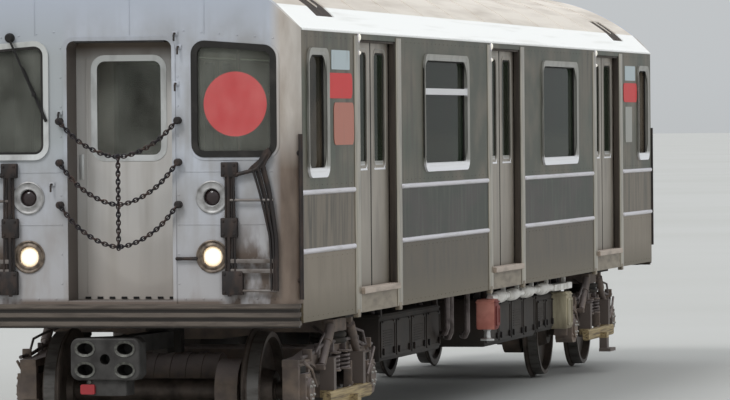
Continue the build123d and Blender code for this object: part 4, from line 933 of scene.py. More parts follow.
# Side doors
# Bonded honeycomb leaves faced with stainless sheet, with a rubber nosing where they meet,
# a polished window surround, and hangers on the rail behind the door header.
leaf_hex = "#a89f93"
leaf_dark_hex = "#7f776d"
leaf_out_y = skin_y - 0.060
leaf_in_y = leaf_out_y - 0.032
leaf_bevel = 0.003
leaf_gap = 0.003
nosing = 0.016
window_width = 0.375
leaf_window_low_z = 2.090
leaf_window_high_z = 2.940
leaf_window_radius = 0.060
surround = 0.030
surround_reach = 0.0025
surround_dish = 0.014
surround_foot = 0.060
pane_depth = 0.012
pane_thick = 0.008
hanger_length = 0.140
hanger_gap = 0.006
hanger_thick = 0.012
hook_thick = 0.018
seal_width = 0.012
seal_gap = 0.008
seal_low_z = floor_z + 0.012
seal_head_z = 3.012
seal_top_z = 3.028
leaf_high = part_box("door_left_1_fore")[1]
leaf_low_z = floor_z + 0.006
leaf_top_z = leaf_high.z - 0.050

# brushed stainless facing: satin, upright grain, hand grease and rain marks
leaf_steel, tree, shader = new_material(
    "brushed_stainless_leaf", leaf_hex, metallic=0.5, roughness=0.4
)
clouds = patches(tree, leaf_hex, leaf_dark_hex, (0.25, 0.25, 0.8), 0.42, 0.75)
tree.links.new(
    by_height(tree, "#857b6e", clouds, floor_z, floor_z + 0.5), shader.inputs["Base Color"]
)
grain(tree, shader, (0.008, 0.008, 0.5), 0.0005)


def leaf_window(shrink):
    """The window's outline in the forward left leaf of a doorway at x 0."""
    return window_outline(door_half / 2, leaf_window_low_z, leaf_window_high_z, window_width,
                          leaf_window_radius, shrink)


def leaf_shell(form):
    """The leaf's body round its window, with two bent hangers along its top."""
    middle = (leaf_gap + nosing + door_half + leaf_overlap) / 2
    width = door_half + leaf_overlap - leaf_gap - nosing
    form.ring(
        window_outline(middle, leaf_low_z, leaf_top_z, width, leaf_bevel), leaf_window(0),
        "Y", leaf_in_y, leaf_out_y,
    )
    hanger_y = leaf_in_y + hanger_gap
    for x in (leaf_gap + hanger_length, door_half + leaf_overlap - 2 * hanger_length):
        form.block((x, x + hanger_length), (hanger_y, hanger_y + hanger_thick),
                   (leaf_top_z - 0.010, leaf_high.z), 0.002)
        form.block((x, x + hanger_length), (hanger_y + hanger_thick, leaf_out_y - 0.008),
                   (leaf_high.z - hook_thick, leaf_high.z), 0.002)


def leaf_trim(form):
    """The window's dished surround, with a sloped foot under it."""
    form.ring(leaf_window(-surround), leaf_window(0.004), "Y", leaf_out_y - 0.016,
              leaf_out_y + surround_reach, surround_dish)
    foot_z = leaf_window_low_z - surround
    form.loft([
        [(x, leaf_out_y - 0.004, foot_z - 0.012), (x, leaf_out_y + surround_reach, foot_z - 0.006),
         (x, leaf_out_y - 0.010, foot_z + surround_foot),
         (x, leaf_out_y - 0.016, foot_z + surround_foot)]
        for x in ((door_half - window_width) / 2 - 0.008, (door_half + window_width) / 2 + 0.008)
    ])


def leaf_nosing(form):
    """The rubber where two leaves meet, and the glazing rubber inside the surround."""
    form.block((leaf_gap, leaf_gap + nosing + 0.001), (leaf_in_y + 0.001, leaf_out_y - 0.001),
               (leaf_low_z, leaf_top_z), 0.006)
    form.ring(leaf_window(0.002), leaf_window(0.014), "Y", leaf_out_y - 0.020,
              leaf_out_y - 0.008, 0.003)


def leaf_pane(form):
    """The leaf's pane."""
    pane_y = leaf_in_y + pane_depth
    form.plate(leaf_window(0.003), "Y", pane_y, pane_y + pane_thick)


for number, x in enumerate(doorways, start=1):
    for end, along in (("fore", 1), ("aft", -1)):
        for side, across in (("left", 1), ("right", -1)):
            node = f"door_{side}_{number}_{end}"
            set_in_place = Matrix.Translation((x, 0, 0)) @ Matrix.Diagonal((along, across, 1, 1))
            for word, draw, material, slot in (
                ("shell", leaf_shell, leaf_steel, "door_metal"),
                ("trim", leaf_trim, highlit_trim, "frame_metal"),
                ("nosing", leaf_nosing, rubber, "gasket"),
                ("pane", leaf_pane, glass, "window_glass"),
            ):
                form = Form()
                draw(form)
                made = form.moved(set_in_place).piece(f"{node}_{word}", node, slot, material)
                if word == "shell":
                    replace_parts(made, node)

# brown jamb lining and seals, dull; their dark brown is partly the rubber and partly painted
# shade in the jambs and under the header
jamb_seal_and_shade_paint = soiled(
    "brown_jamb_lining_and_shade", "#4c433b", "#322b26", (0.04, 0.04, 0.5), 0.42, 0.75, roughness=0.8
)
seals = Form()
for x in doorways:
    for edge, inward in ((x - door_half, 1), (x + door_half, -1)):
        seals.block((edge, edge + inward * seal_width), (leaf_out_y + seal_gap, skin_y - bed),
                    (seal_low_z, seal_top_z), 0.003)
    seals.block((x - door_half, x + door_half), (leaf_out_y + seal_gap, skin_y - 0.010),
                (seal_head_z, seal_top_z + 0.001), 0.003)
seals.on_both_sides().piece("doorway_seals", "carbody", "gasket", jamb_seal_and_shade_paint)

# Thresholds
# Ribbed cast aluminium treads with a raised nose outside the leaves, polished by feet, over an
# apron that lies flush with the skin; a short stay hangs below each end.
tread_hex = "#bcab9c"
apron_hex = "#968a78"
tread_in_y = skin_y - 0.120
tread_out_y = skin_y + 0.030
tread_low_z = floor_z - 0.040
tread_pitch = 0.009
rib_rise = 0.0025
nose_radius = 0.008
nose_rise = 0.046
nose_gap = 0.008
groove_y = leaf_out_y - 0.016
groove_half = 0.006
groove_depth = 0.010
apron_in_y = skin_y - 0.053
stay_half = 0.050
stay_x = door_half + post_gap + post_half
stay_drop = 0.030

# cast aluminium tread, worn: bright along the nose, grit between the ribs
tread = soiled(
    "worn_aluminium_tread", tread_hex, "#8d7f71", (0.3, 0.05, 0.05), 0.45, 0.75,
    metallic=0.25, roughness=0.45,
)
# galvanised sheet, scuffed and dusty: warm grey with darker scrapes
scuffed = soiled(
    "scuffed_galvanised_apron", apron_hex, "#6c6153", (0.25, 0.05, 0.06), 0.42, 0.75,
    metallic=0.2, roughness=0.5,
)

# the tread's outline across the car, from its inner lower edge round the nose
nose_z = floor_z + nose_rise
nose_in_y = leaf_out_y + nose_gap
ribs = [(tread_in_y, tread_low_z), (skin_y - 0.004, tread_low_z), (skin_y - 0.004, floor_z),
        (tread_out_y - nose_radius / 2, floor_z), (tread_out_y, floor_z + nose_radius / 2)]
ribs += [
    (tread_out_y - nose_radius * (1 - cos(radians(turn))),
     nose_z - nose_radius * (1 - sin(radians(turn))))
    for turn in range(0, 91, 15)
]
y = tread_out_y - 2 * nose_radius
while y - tread_pitch > nose_in_y:
    groove_z = nose_z - rib_rise
    ribs += [(y, nose_z), (y - rib_rise / 2, groove_z), (y - tread_pitch / 2, groove_z),
             (y - tread_pitch / 2 - rib_rise / 2, nose_z)]
    y -= tread_pitch
ribs += [(nose_in_y, nose_z), (nose_in_y, floor_z)]
ribs += [(groove_y + groove_half, floor_z), (groove_y + groove_half, floor_z - groove_depth),
         (groove_y - groove_half, floor_z - groove_depth), (groove_y - groove_half, floor_z),
         (tread_in_y, floor_z)]
treads, aprons, stays = Form(), Form(), Form()
for x in doorways:
    treads.plate(ribs, "X", x - door_half, x + door_half)
    aprons.block((x - door_half, x + door_half), (apron_in_y, skin_y), (sill_z, floor_z - 0.002))
    for middle in (x - stay_x, x + stay_x):
        stays.block((middle - stay_half, middle + stay_half), (skin_y - 0.030, skin_y + 0.008),
                    (sill_z - stay_drop, sill_z + 0.030), 0.004)
for form, word, material, slot in (
    (treads, "treads", tread, "frame_metal"), (aprons, "aprons", scuffed, "stainless_body"),
    (stays, "stays", scuffed, "frame_metal"),
):
    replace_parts(form.on_both_sides().piece(f"threshold_{word}", "carbody", slot, material),
                "thresholds")

# End masks
# Moulded end panels in weathered pale grey paint, dirtied by streaks below every edge; a
# rolled lip runs round the door recess, and bolted seams divide the skin.
mask_hex = "#b3b7bf"
mask_streak_hex = "#908e8c"
mask_low_hex = "#a3a1a2"
mask_foot_hex = "#6b5e55"
mask_high_hex = "#a9afba"
mask_high_zs = (2.90, 3.30)
mask_left_hex = "#9ea2a4"
mask_left_zs = (2.00, 2.30)
corner_high_hex = "#c3bcb4"
mask_corner_hex = "#75665a"
mask_rust_hex = "#54463c"
recess_shade_hex = "#5d544e"
lamp_y = 0.675
recess_half = 0.3875
recess_low_z = 1.160
recess_high_z = 3.010
recess_radius = 0.055
lip = 0.026
lip_reach = 0.007
lip_sink = 0.150
drip = 0.016
grab_ys = (0.420, 0.560)
grab_z = 1.458
grab_radius = 0.011
seam_half = 0.0035
seam_reach = 0.003
seam_ys = (-0.62, 0.08, 0.626)
seam_low_z = 3.050
line_zs = (1.700, 2.075)
line_gap = 0.030
hook_length = 0.055
hook_radius = 0.007
# across from the middle, height
hook_places = ((0.415, 3.055), (0.44, 2.96), (0.42, 2.70), (-0.44, 2.50), (-0.50, 1.99))
slot_count = 8
slot_half = 0.021
slot_height = 0.016
slot_depth = (0.255, 0.262)
slot_share = 0.92
iron_hex = "#211c1b"
corner_y = skin_y - 0.160
bolt_radius = 0.0075
bolt_height = 0.004
# how many bolts, from where, how far apart: up the recess, and across the foot and the brow
recess_bolts = (9, recess_low_z + 0.120, 0.210)
level_bolts = (6, recess_half + 0.090, 0.130)
foot_bolt_z = floor_z + 0.035
brow_bolt_z = 3.075
brow_bolt_fall = 0.012

# sprayed enamel, chalked by weather: streaked down from every edge, brown at the corners;
# dark brown inside the door recess as painted shade
mask_paint, tree, shader = new_material("weathered_grey_mask_paint", mask_hex, roughness=0.5)
clouds = patches(tree, mask_hex, mask_streak_hex, (0.40, 0.25, 0.35), 0.38, 0.72)
streaked = patches(tree, clouds, mask_streak_hex, (0.2, 0.07, 0.8), 0.5, 1.0, 2.0)
low_dirt = patches(tree, mask_low_hex, "#8b827b", (0.2, 0.12, 0.35), 0.45, 0.9)
foot = by_height(tree, mask_foot_hex, low_dirt, floor_z + 0.012, floor_z + 0.045)
heights = by_height(tree, foot, streaked, floor_z + 0.1, floor_z + 1.0)
rightward = rising(tree, coordinate(tree, "Y"), -recess_half - 0.03, -recess_half)
left = blend(tree, rightward, mask_left_hex, heights)
heights = by_height(tree, heights, left, *mask_left_zs)
heights = by_height(tree, heights, mask_high_hex, *mask_high_zs)
rust = patches(tree, mask_corner_hex, mask_rust_hex, (0.12, 0.10, 0.4), 0.4, 0.75)
smeared = patches(tree, mask_low_hex, mask_rust_hex, (0.3, 0.10, 0.22), 0.34, 0.58)
gateway = by_height(tree, smeared, heights, floor_z + 0.35, floor_z + 0.65)
inner = by_reach(tree, "Y", heights, gateway, lamp_y + 0.04, lamp_y + 0.14)
pale = patches(tree, corner_high_hex, "#96897d", (0.2, 0.12, 0.5), 0.4, 0.8)
corner = by_height(tree, rust, pale, floor_z + 0.95, floor_z + 1.35)
skin = by_reach(tree, "Y", inner, corner, corner_y - 0.05, corner_y + 0.03)
# painted shade: the door recess's walls and head in dark brown
shaded = by_reach(tree, "X", recess_shade_hex, skin, mask_x - 0.012, mask_x - 0.010)
tree.links.new(
    by_reach(tree, "Y", shaded, skin, recess_half + 0.018, recess_half + 0.022),
    shader.inputs["Base Color"],
)
grain(tree, shader, (0.35, 0.35, 0.35), 0.0025)
finish_nodes(mask_paint, "end_front", "end_rear", "floor")

lips = Form()
lip_low_z = recess_low_z - lip_sink
lips.ring(
    window_outline(0, lip_low_z, recess_high_z, 2 * recess_half, recess_radius, -lip),
    window_outline(0, lip_low_z, recess_high_z, 2 * recess_half, recess_radius, 0.001),
    "X", mask_x - bed, mask_x + lip_reach, 0.005,
)
for y in seam_ys:
    lips.block((mask_x - bed, mask_x + seam_reach), (y - seam_half, y + seam_half),
               (seam_low_z, roof_height(y) - 0.004), 0.001)
for z in line_zs:
    for side in (-1, 1):
        lips.block((mask_x - bed, mask_x + seam_reach),
                   (side * (recess_half + lip + line_gap), side * (corner_y - line_gap)),
                   (z - seam_half, z + seam_half), 0.001)
for y, z in hook_places:
    lips.block((mask_x - bed, mask_x + 0.010), (y - 0.022, y + 0.022), (z - 0.016, z + 0.016),
               0.003)
lips.at_both_ends().piece("mask_lips", "carbody", "mask", mask_paint)

# a black rubber drip strip under the top of the recess, which also stands as painted shade
# along the recess head
drip_and_shade_strips = Form()
drip_and_shade_strips.block((mask_x - 0.030, mask_x + 0.005),
            (recess_radius - recess_half, recess_half - recess_radius),
            (recess_high_z - drip, recess_high_z - 0.001), 0.003)
drip_and_shade_strips.at_both_ends().piece("recess_drip_and_shade_strips", "carbody", "gasket", rubber)

# forged steel, bare where chains rub: dark brown with a dull shine
dark_iron = soiled(
    "dark_forged_iron", iron_hex, "#41322a", (0.05, 0.05, 0.12), 0.45, 0.8,
    ((0.02, 0.02, 0.02), 0.0012), metallic=0.2, roughness=0.65,
)
# a grab bar beside the left headlamp, and hooks bent down from their plates
hooks = Form()
hooks.bar([(mask_x - 0.004, grab_ys[0], grab_z), (mask_x + 0.024, grab_ys[0], grab_z),
           (mask_x + 0.024, grab_ys[1], grab_z), (mask_x - 0.004, grab_ys[1], grab_z)],
          grab_radius)
for y, z in hook_places:
    hooks.bar([
        (mask_x + 0.004, y, z), (mask_x + 0.030, y, z), (mask_x + 0.040, y, z - 0.014),
        (mask_x + 0.040, y, z - hook_length),
    ], hook_radius)
hooks.at_both_ends().piece("mask_hooks", "carbody", "dark_steel", dark_iron)


def on_ends(x, spots):
    """Places for heads on both sides of both ends, from spots given across and up."""
    return [((turn * x, side * y, z), (turn, 0, 0))
            for turn in (1, -1) for side in (-1, 1) for y, z in spots]


count, start, pitch = recess_bolts
spots = [(recess_half + lip + 0.018, start + step * pitch) for step in range(count)]
count, start, pitch = level_bolts
for step in range(count):
    y = start + step * pitch
    spots += [(y, foot_bolt_z), (y, brow_bolt_z - brow_bolt_fall * step)]
studs("mask_bolt_rows", stud_tree("mask_bolt_heads", mask_paint), on_ends(mask_x, spots),
      bolt_radius, bolt_height, "carbody")

# matt black paint, no shine at all; in the foot plate's drain slots it is painted shade, the
# dark of the openings
black_paint_and_slot_shade = new_material("matt_black_paint", "#171514", roughness=0.85)[0]
slot_shades = Form()
for index in range(slot_count):
    y = (index - (slot_count - 1) / 2) * 2 * recess_half * slot_share / slot_count
    slot_shades.block((mask_x - slot_depth[1], mask_x - slot_depth[0]), (y - slot_half, y + slot_half),
                (recess_low_z + 0.004, recess_low_z + 0.004 + slot_height), 0.002)
slot_shades.at_both_ends().piece("recess_drain_slots", "carbody", "dark_steel", black_paint_and_slot_shade)

# End windows
# A rubber gasket holds the pane on the car's left; the driver's pane on the right has a
# bright clamped frame and a wiper. A blank red disc hangs inside the left pane.
end_window_in_y = 0.530
end_window_low_z = 2.175
end_window_high_z = 3.009
end_window_drop = 0.048
end_window_radius = 0.095
bright_frame = 0.042
bright_reach = 0.016
disc_radius = 0.230
disc_y = 0.839
disc_z = 2.551
disc_x = mask_x - 0.045
wiper_pivot = Vector((-0.800, 3.037))
wiper_end = Vector((-0.619, 2.629))
wiper_x = mask_x + 0.045
blade_x = mask_x + 0.022
blade_half = 0.210
finish_nodes(rubber, "end_window_frames")


def end_window(side, shrink):
    """An end window's outline on one side of the car, moved in all round."""
    inner, outer = end_window_in_y + shrink, corner_y - shrink
    corners = [
        (inner, end_window_low_z + shrink), (outer, end_window_low_z + shrink),
        (outer, end_window_high_z - end_window_drop - shrink),
        (inner, end_window_high_z - shrink),
    ]
    outline = rounded_corners(corners, end_window_radius - shrink)
    return [(side * y, z) for y, z in outline]


bright = Form()
bright.ring(end_window(-1, -0.012), end_window(-1, bright_frame), "X", mask_x - 0.004,
            mask_x + bright_reach, 0.008)
bright.at_both_ends().piece("driver_window_frames", "carbody", "frame_metal", aluminium)
edging = Form()
edging.ring(end_window(1, -0.020), end_window(1, -0.002), "X", mask_x - bed, mask_x + 0.005)
edging.at_both_ends().piece("gasket_edging", "carbody", "mask", mask_paint)

# screen-printed red plastic: flat, with faint darker mottling, and a painted glow for the
# daylight on it, though it is no lamp
glowing_disc_red = soiled(
    "red_printed_plastic_painted_glow", "#c03a4a", "#a8343f", (0.09, 0.09, 0.09), 0.45, 0.7,
    roughness=0.45, Emission_Color=linear("#d02034"), Emission_Strength=3.3,
)
disc = Form()
disc.turned([(0, 0), (disc_radius, 0), (disc_radius, 0.004), (0, 0.004)],
            (disc_x, disc_y, disc_z), (1, 0, 0), 48)
disc.at_both_ends().piece("blank_red_discs", "carbody", "sign", glowing_disc_red)

wipers = Form()
wipers.turned([(0, 0), (0.034, 0), (0.034, 0.030), (0.022, 0.052), (0, 0.052)],
              (mask_x, *wiper_pivot), (1, 0, 0), 16)
wipers.bar([(wiper_x, *wiper_pivot), (wiper_x, *wiper_end)], 0.008, 6)
blade = (wiper_end - wiper_pivot).normalized() * blade_half
wipers.bar([(blade_x, *(wiper_end - blade)), (blade_x, *(wiper_end + blade))], 0.011, 6)
wipers.block((mask_x + 0.020, wiper_x + 0.006), (wiper_end.x - 0.014, wiper_end.x + 0.014),
             (wiper_end.y - 0.014, wiper_end.y + 0.014), 0.003)
wipers.at_both_ends().piece("window_wipers", "carbody", "dark_steel", black_paint_and_slot_shade)

# End doors
# A sliding leaf in the same paint as the mask, set back in its recess, with a bright
# rounded window frame, two stiffening beads and a recessed pull.
door_hex = "#bdbab6"
door_face_x = mask_x - 0.266
door_window_low_z = 2.180
door_window_high_z = 2.880
door_window_width = 0.500
door_window_radius = 0.070
door_frame_width = 0.030
door_frame_cover = 0.014
door_reach = 0.0035
door_back_x = door_face_x - 0.035
door_half_width = recess_half + 0.040
door_head = 0.084
door_bead_y = 0.315
door_bead_half = 0.006
door_hangers = (-0.3675, 0.2275)
door_hanger_length = 0.140
pull_ys = (-0.372, -0.338)
pull_zs = (2.020, 2.200)
door_low, door_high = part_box("end_door_front")

# the same enamel as the mask, handled: browner and duller, with a dark brown band of painted
# shade above the window, under the recess head
door_paint, tree, shader = new_material("handled_grey_door_paint", door_hex, roughness=0.5)
clouds = patches(tree, door_hex, "#a29c95", (0.3, 0.09, 0.9), 0.45, 0.9, 2.0)
# painted shade: a dark brown band above the window
header_shade = by_height(tree, clouds, "#5c5044", door_window_high_z - 0.01, door_window_high_z + 0.09)
tree.links.new(
    by_height(tree, "#a79f97", header_shade, floor_z, floor_z + 0.7), shader.inputs["Base Color"]
)
grain(tree, shader, (0.3, 0.3, 0.3), 0.002)
finish_nodes(door_paint, "cab_door_front", "cab_door_rear", "cab_partitions")


def end_door_window(shrink):
    """The end door window's outline, moved in all round."""
    return window_outline(0, door_window_low_z, door_window_high_z, door_window_width,
                          door_window_radius, shrink)


for node, turn in (("end_door_front", Matrix.Identity(4)), ("end_door_rear", half_turn)):
    shell = Form()
    shell.ring(
        window_outline(0, door_low.z, door_high.z - door_head, 2 * door_half_width, 0.004),
        end_door_window(0), "X", door_back_x, door_face_x,
    )
    for y in (-door_bead_y, door_bead_y):
        shell.block((door_face_x - bed, door_face_x + door_reach),
                    (y - door_bead_half, y + door_bead_half),
                    (door_low.z + 0.06, door_high.z - 0.20), 0.002)
    for y0 in door_hangers:
        shell.block((door_back_x - 0.006, door_back_x), (y0, y0 + door_hanger_length),
                    (door_high.z - door_hanger_length, door_high.z), 0.001)
    frames = Form()
    frames.ring(end_door_window(-door_frame_width), end_door_window(door_frame_cover), "X",
                door_face_x - 0.010, door_face_x + door_reach, 0.004)
    frames.block((door_face_x - bed, door_face_x + door_reach), pull_ys, pull_zs, 0.002)
    panes = Form()
    panes.plate(end_door_window(0.002), "X", door_face_x - 0.016, door_face_x - 0.008)
    for form, word, material, slot in (
        (shell, "shell", door_paint, "mask"), (frames, "frame", aluminium, "frame_metal"),
        (panes, "pane", end_glass, "window_glass"),
    ):
        made = form.moved(turn).piece(f"{node}_{word}", node, slot, material)
        if word == "shell":
            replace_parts(made, node)

# Lamps
# Two headlamps low on the mask, lit, in dark pressed rings; two tail lamps above them, unlit,
# in paler rings. Each ring is rolled to a shallow channel.
headlamp_z = 1.472
tail_lamp_z = 1.892
headlamp_radius = 0.076
tail_radius = 0.062
ring_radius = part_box("lamp_bezels")[1].y - lamp_y
lens_back = 0.040
lens_dome = 0.016
flute_x = mask_x - lens_back + 1.75 * lens_dome
flute_radius = 0.003
lamp_strength = 1.45
warm_shares = (0.35, 0.95)      # of the headlamp's radius, from white to warm

# pressed steel rings: the lower pair browned by heat and dirt, the upper pair still pale
ring_steel, tree, shader = new_material(
    "pressed_steel_lamp_ring", "#a7a5a2", metallic=0.4, roughness=0.45
)
browned = patches(tree, "#776a5d", "#3f352f", (0.04, 0.04, 0.04), 0.4, 0.7)
greyed = patches(tree, "#a3a2a1", "#7c7a78", (0.05, 0.05, 0.05), 0.4, 0.7)
tree.links.new(
    by_height(tree, browned, greyed, headlamp_z + 0.18, tail_lamp_z - 0.18),
    shader.inputs["Base Color"],
)
rings = Form()
for side in (-1, 1):
    for z, radius in ((headlamp_z, headlamp_radius), (tail_lamp_z, tail_radius)):
        channel = (ring_radius + radius) / 2
        loops = []
        for reach, rise in (
            (radius - 0.002, -0.030), (radius - 0.002, 0.004), (radius + 0.004, 0.009),
            (radius + 0.011, 0.007), (channel, 0.002), (ring_radius - 0.014, 0.006),
            (ring_radius - 0.008, 0.012), (ring_radius - 0.001, 0.008), (ring_radius - 0.001, 0),
            (ring_radius - 0.003, -0.003),
        ):
            loops.append([
                (mask_x + rise, side * lamp_y + reach * c, z + reach * s) for c, s in circle(48)
            ])
        rings.loft(loops, closed=True)
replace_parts(rings.at_both_ends().piece("lamp_rings", "carbody", "bezel", ring_steel),
            "lamp_bezels")

# fluted glass over a lit bulb: white in the middle, warm and dimmer toward the rim
lit_lens, tree, shader = new_material("lit_headlamp_glass", "#fff4dc", roughness=0.25)
across = reckon(tree, "SUBTRACT", reckon(tree, "ABSOLUTE", coordinate(tree, "Y")), lamp_y)
above = reckon(tree, "SUBTRACT", coordinate(tree, "Z"), headlamp_z)
spread = reckon(tree, "SQRT", reckon(
    tree, "ADD", reckon(tree, "MULTIPLY", across, across), reckon(tree, "MULTIPLY", above, above),
))
rim = rising(tree, spread, *(share * headlamp_radius for share in warm_shares))
tree.links.new(blend(tree, rim, "#fffdf4", "#b1936a"), shader.inputs["Emission Color"])
tree.links.new(reckon(tree, "SUBTRACT", lamp_strength, rim), shader.inputs["Emission Strength"])
# deep red glass, unlit: nearly black with a sharp gloss
dark_lens = new_material("dark_tail_lamp_glass", "#2b2020", roughness=0.15)[0]
for word, z, radius, material, flutes in (
    ("headlamp", headlamp_z, headlamp_radius, lit_lens, 12),
    ("tail_lamp", tail_lamp_z, tail_radius, dark_lens, 0),
):
    lenses = Form()
    for side in (-1, 1):
        centre = (mask_x - lens_back, side * lamp_y, z)
        lenses.turned([
            (0, 0), (radius, 0), (radius, lens_dome), (0.86 * radius, 1.6 * lens_dome),
            (0.5 * radius, 2.3 * lens_dome), (0, 2.5 * lens_dome),
        ], centre, (1, 0, 0), 32)
        for flute in range(flutes):
            y = side * lamp_y + (flute - (flutes - 1) / 2) * 1.7 * radius / flutes
            half = sqrt(radius**2 - (y - side * lamp_y) ** 2) * 0.92
            lenses.bar([(flute_x, y, z - half), (flute_x, y, z + half)], flute_radius, 6)
    made = lenses.at_both_ends().piece(f"{word}_lenses", "carbody", "lens", material)
    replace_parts(made, "lamp_lenses")

# Corner gates
# Gates on the mask's outer corners keep people from between coupled cars: a post in bolted cast
# blocks, and a lattice of flat bars folded against it and against a curved outer bar. Black
# paint, chipped and rusty; a bare galvanised rail and flats run across.
gate_head_radius = 0.011
gate_head_height = 0.007
gate_x = mask_x + 0.035
gate_post_y = corner_y - 0.345
gate_bar = 0.014
gate_rod = 0.010
lattice_bar = 0.009
corner_bar_radius = 0.016
block_x = mask_x + 0.049
corner_radius = (0.097**2 + 0.160**2) / (2 * 0.097)
corner_spot = radians(52)
# across from the post, height above the floor
gate_brace = ((0.0, 0.904), (0.100, 0.926), (0.210, 0.962), (0.285, 1.064))
gate_outer = ((0.255, 0.974), (0.301, 0.778), (0.332, 0.560), (0.345, 0.424), (0.345, 0.094))
# how far each folded bar lies inside the outer bar, from top to bottom
lattice_steps = (0.021, 0.018, 0.013, 0.011, 0.009)
post_lattice = (-0.027, 0.026, 0.046)
# first and last point across from the post, lowest and highest point above the floor
gate_blocks = ((-0.055, 0.065, 0.899, 1.004), (-0.060, 0.062, 0.470, 0.610),
               (-0.053, 0.100, 0.064, 0.234))
gate_flats = (0.219, 0.289)
gate_links = ((0.325, 0.735), (0.345, 0.094))
# heights above the floor: the post's ends, the corner bar's ends and its two brackets
post_span = (0.054, 0.994)
corner_bar_span = (0.029, 1.199)
corner_brackets = (0.164, 1.064)
# the cast hanger that the folded lattice swings from
gate_hanger = ((0.120, 0.922), (0.205, 0.938), (0.262, 0.972), (0.312, 1.068), (0.292, 1.105),
               (0.258, 1.082), (0.222, 1.022), (0.165, 0.975))


def smooth_route(points, steps=5):
    """Points along a soft curve through the given ones."""
    ends = [points[0], *points, points[-1]]
    route = []
    for before, start, end, after in zip(ends, ends[1:], ends[2:], ends[3:]):
        for share in (step / steps for step in range(steps)):
            route.append(tuple(
                0.5 * (2 * b + (c - a) * share + (2 * a - 5 * b + 4 * c - d) * share**2
                       + (3 * b - a - 3 * c + d) * share**3)
                for a, b, c, d in zip(before, start, end, after)
            ))
    return route + [points[-1]]


def on_gate(points, depth=0.0, shifts=(0.0,) * 5):
    """A route in the car's space from points given across from the post and up from the floor."""
    route = [(across - shift, height) for (across, height), shift in zip(points, shifts)]
    return [(gate_x + depth, gate_post_y + across, floor_z + height)
            for across, height in smooth_route(route)]


gates = Form()
gates.bar([(gate_x, gate_post_y, floor_z + height) for height in post_span], gate_bar)
for y0, y1, z0, z1 in gate_blocks:
    gates.block((mask_x, block_x), (gate_post_y + y0, gate_post_y + y1),
                (floor_z + z0, floor_z + z1), 0.008)
gates.bar(on_gate(gate_brace), gate_bar)
gates.bar(on_gate(gate_brace, -0.016, (0.0, -0.01, -0.012, -0.024)), lattice_bar)
gates.bar(on_gate(gate_outer), gate_bar)
for number in (1, 2, 3, 4):
    depth = -0.012 if number % 2 else 0.004
    gates.bar(on_gate(gate_outer, depth, [number * step for step in lattice_steps]), lattice_bar)
hanger = [(gate_post_y + across, floor_z + height) for across, height in gate_hanger]
gates.plate(hanger, "X", gate_x - 0.012, gate_x + 0.006)
for number, across in enumerate(post_lattice):
    gates.bar([(gate_x - 0.010 + 0.006 * number, gate_post_y + across, floor_z + 0.150),
               (gate_x - 0.010 + 0.006 * number, gate_post_y + across * 0.8, floor_z + 0.950)],
              lattice_bar)
centre_x, reach = mask_x - corner_radius, corner_radius + 0.022
spot = (centre_x + reach * cos(corner_spot), corner_y + reach * sin(corner_spot))
gates.bar([(*spot, floor_z + height) for height in corner_bar_span], corner_bar_radius, 12)
for height in corner_brackets:
    gates.turned(
        [(0, 0), (0.020, 0), (0.020, 0.006), (0.011, 0.010), (0.011, 0.024), (0, 0.024)],
        (centre_x + corner_radius * cos(corner_spot), corner_y + corner_radius * sin(corner_spot),
         floor_z + height), (cos(corner_spot), sin(corner_spot), 0), 12,
    )

# zinc-coated steel under dust: dull and warm grey
galvanised = soiled(
    "dusty_galvanised_steel", "#736d69", "#4f453e", (0.10, 0.08, 0.05), 0.42, 0.75,
    metallic=0.3, roughness=0.6,
)
rails = Form()
for low in gate_flats:
    rails.block((gate_x - 0.008, gate_x + 0.008), (gate_post_y + 0.01, corner_y - 0.01),
                (floor_z + low, floor_z + low + 0.030), 0.003)
for across, height in gate_links:
    rails.bar([(gate_x, gate_post_y, floor_z + height),
               (gate_x, gate_post_y + across, floor_z + height)], gate_rod)
for form, word, material in ((gates, "frames", dark_iron), (rails, "rails", galvanised)):
    made = form.on_both_sides().at_both_ends().piece(
        f"gate_{word}", "carbody", "dark_steel", material
    )
    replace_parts(made, "corner_gates")

spots = [
    (gate_post_y + y, floor_z + z) for y0, y1, z0, z1 in gate_blocks
    for y in (y0 + 0.020, y1 - 0.020) for z in (z0 + 0.022, z1 - 0.022)
]
studs("gate_bolts", stud_tree("iron_bolt_heads", dark_iron), on_ends(block_x, spots),
      gate_head_radius, gate_head_height, "carbody")

# Safety chains
# Three swags of short-link steel chain hang between hooked eyes across the end door, joined
# by one upright chain; greasy black, bright where links rub.
chain_x = mask_x + 0.0461
eye_y = 0.435
eye_zs = (2.438, 2.142, 1.842)
shackle_radius = 0.027
swag_drops = (0.258, 0.302, 0.302)
# share of the way out to the eye, share of the drop
swag_shape = ((0.78, 0.42), (0.5, 0.74), (0.22, 0.94), (0.0, 1.0))
chain_width = 0.027
wire_radius = 0.0060
link_half = 0.0215
link_pitch = 0.0290
core_radius = 0.0025

# greasy steel: black, a little rusty, with a small hard glint
chain_steel = soiled(
    "greasy_chain_steel", "#29262a", "#54423a", (0.06, 0.06, 0.06), 0.45, 0.75,
    metallic=0.6, roughness=0.45,
)


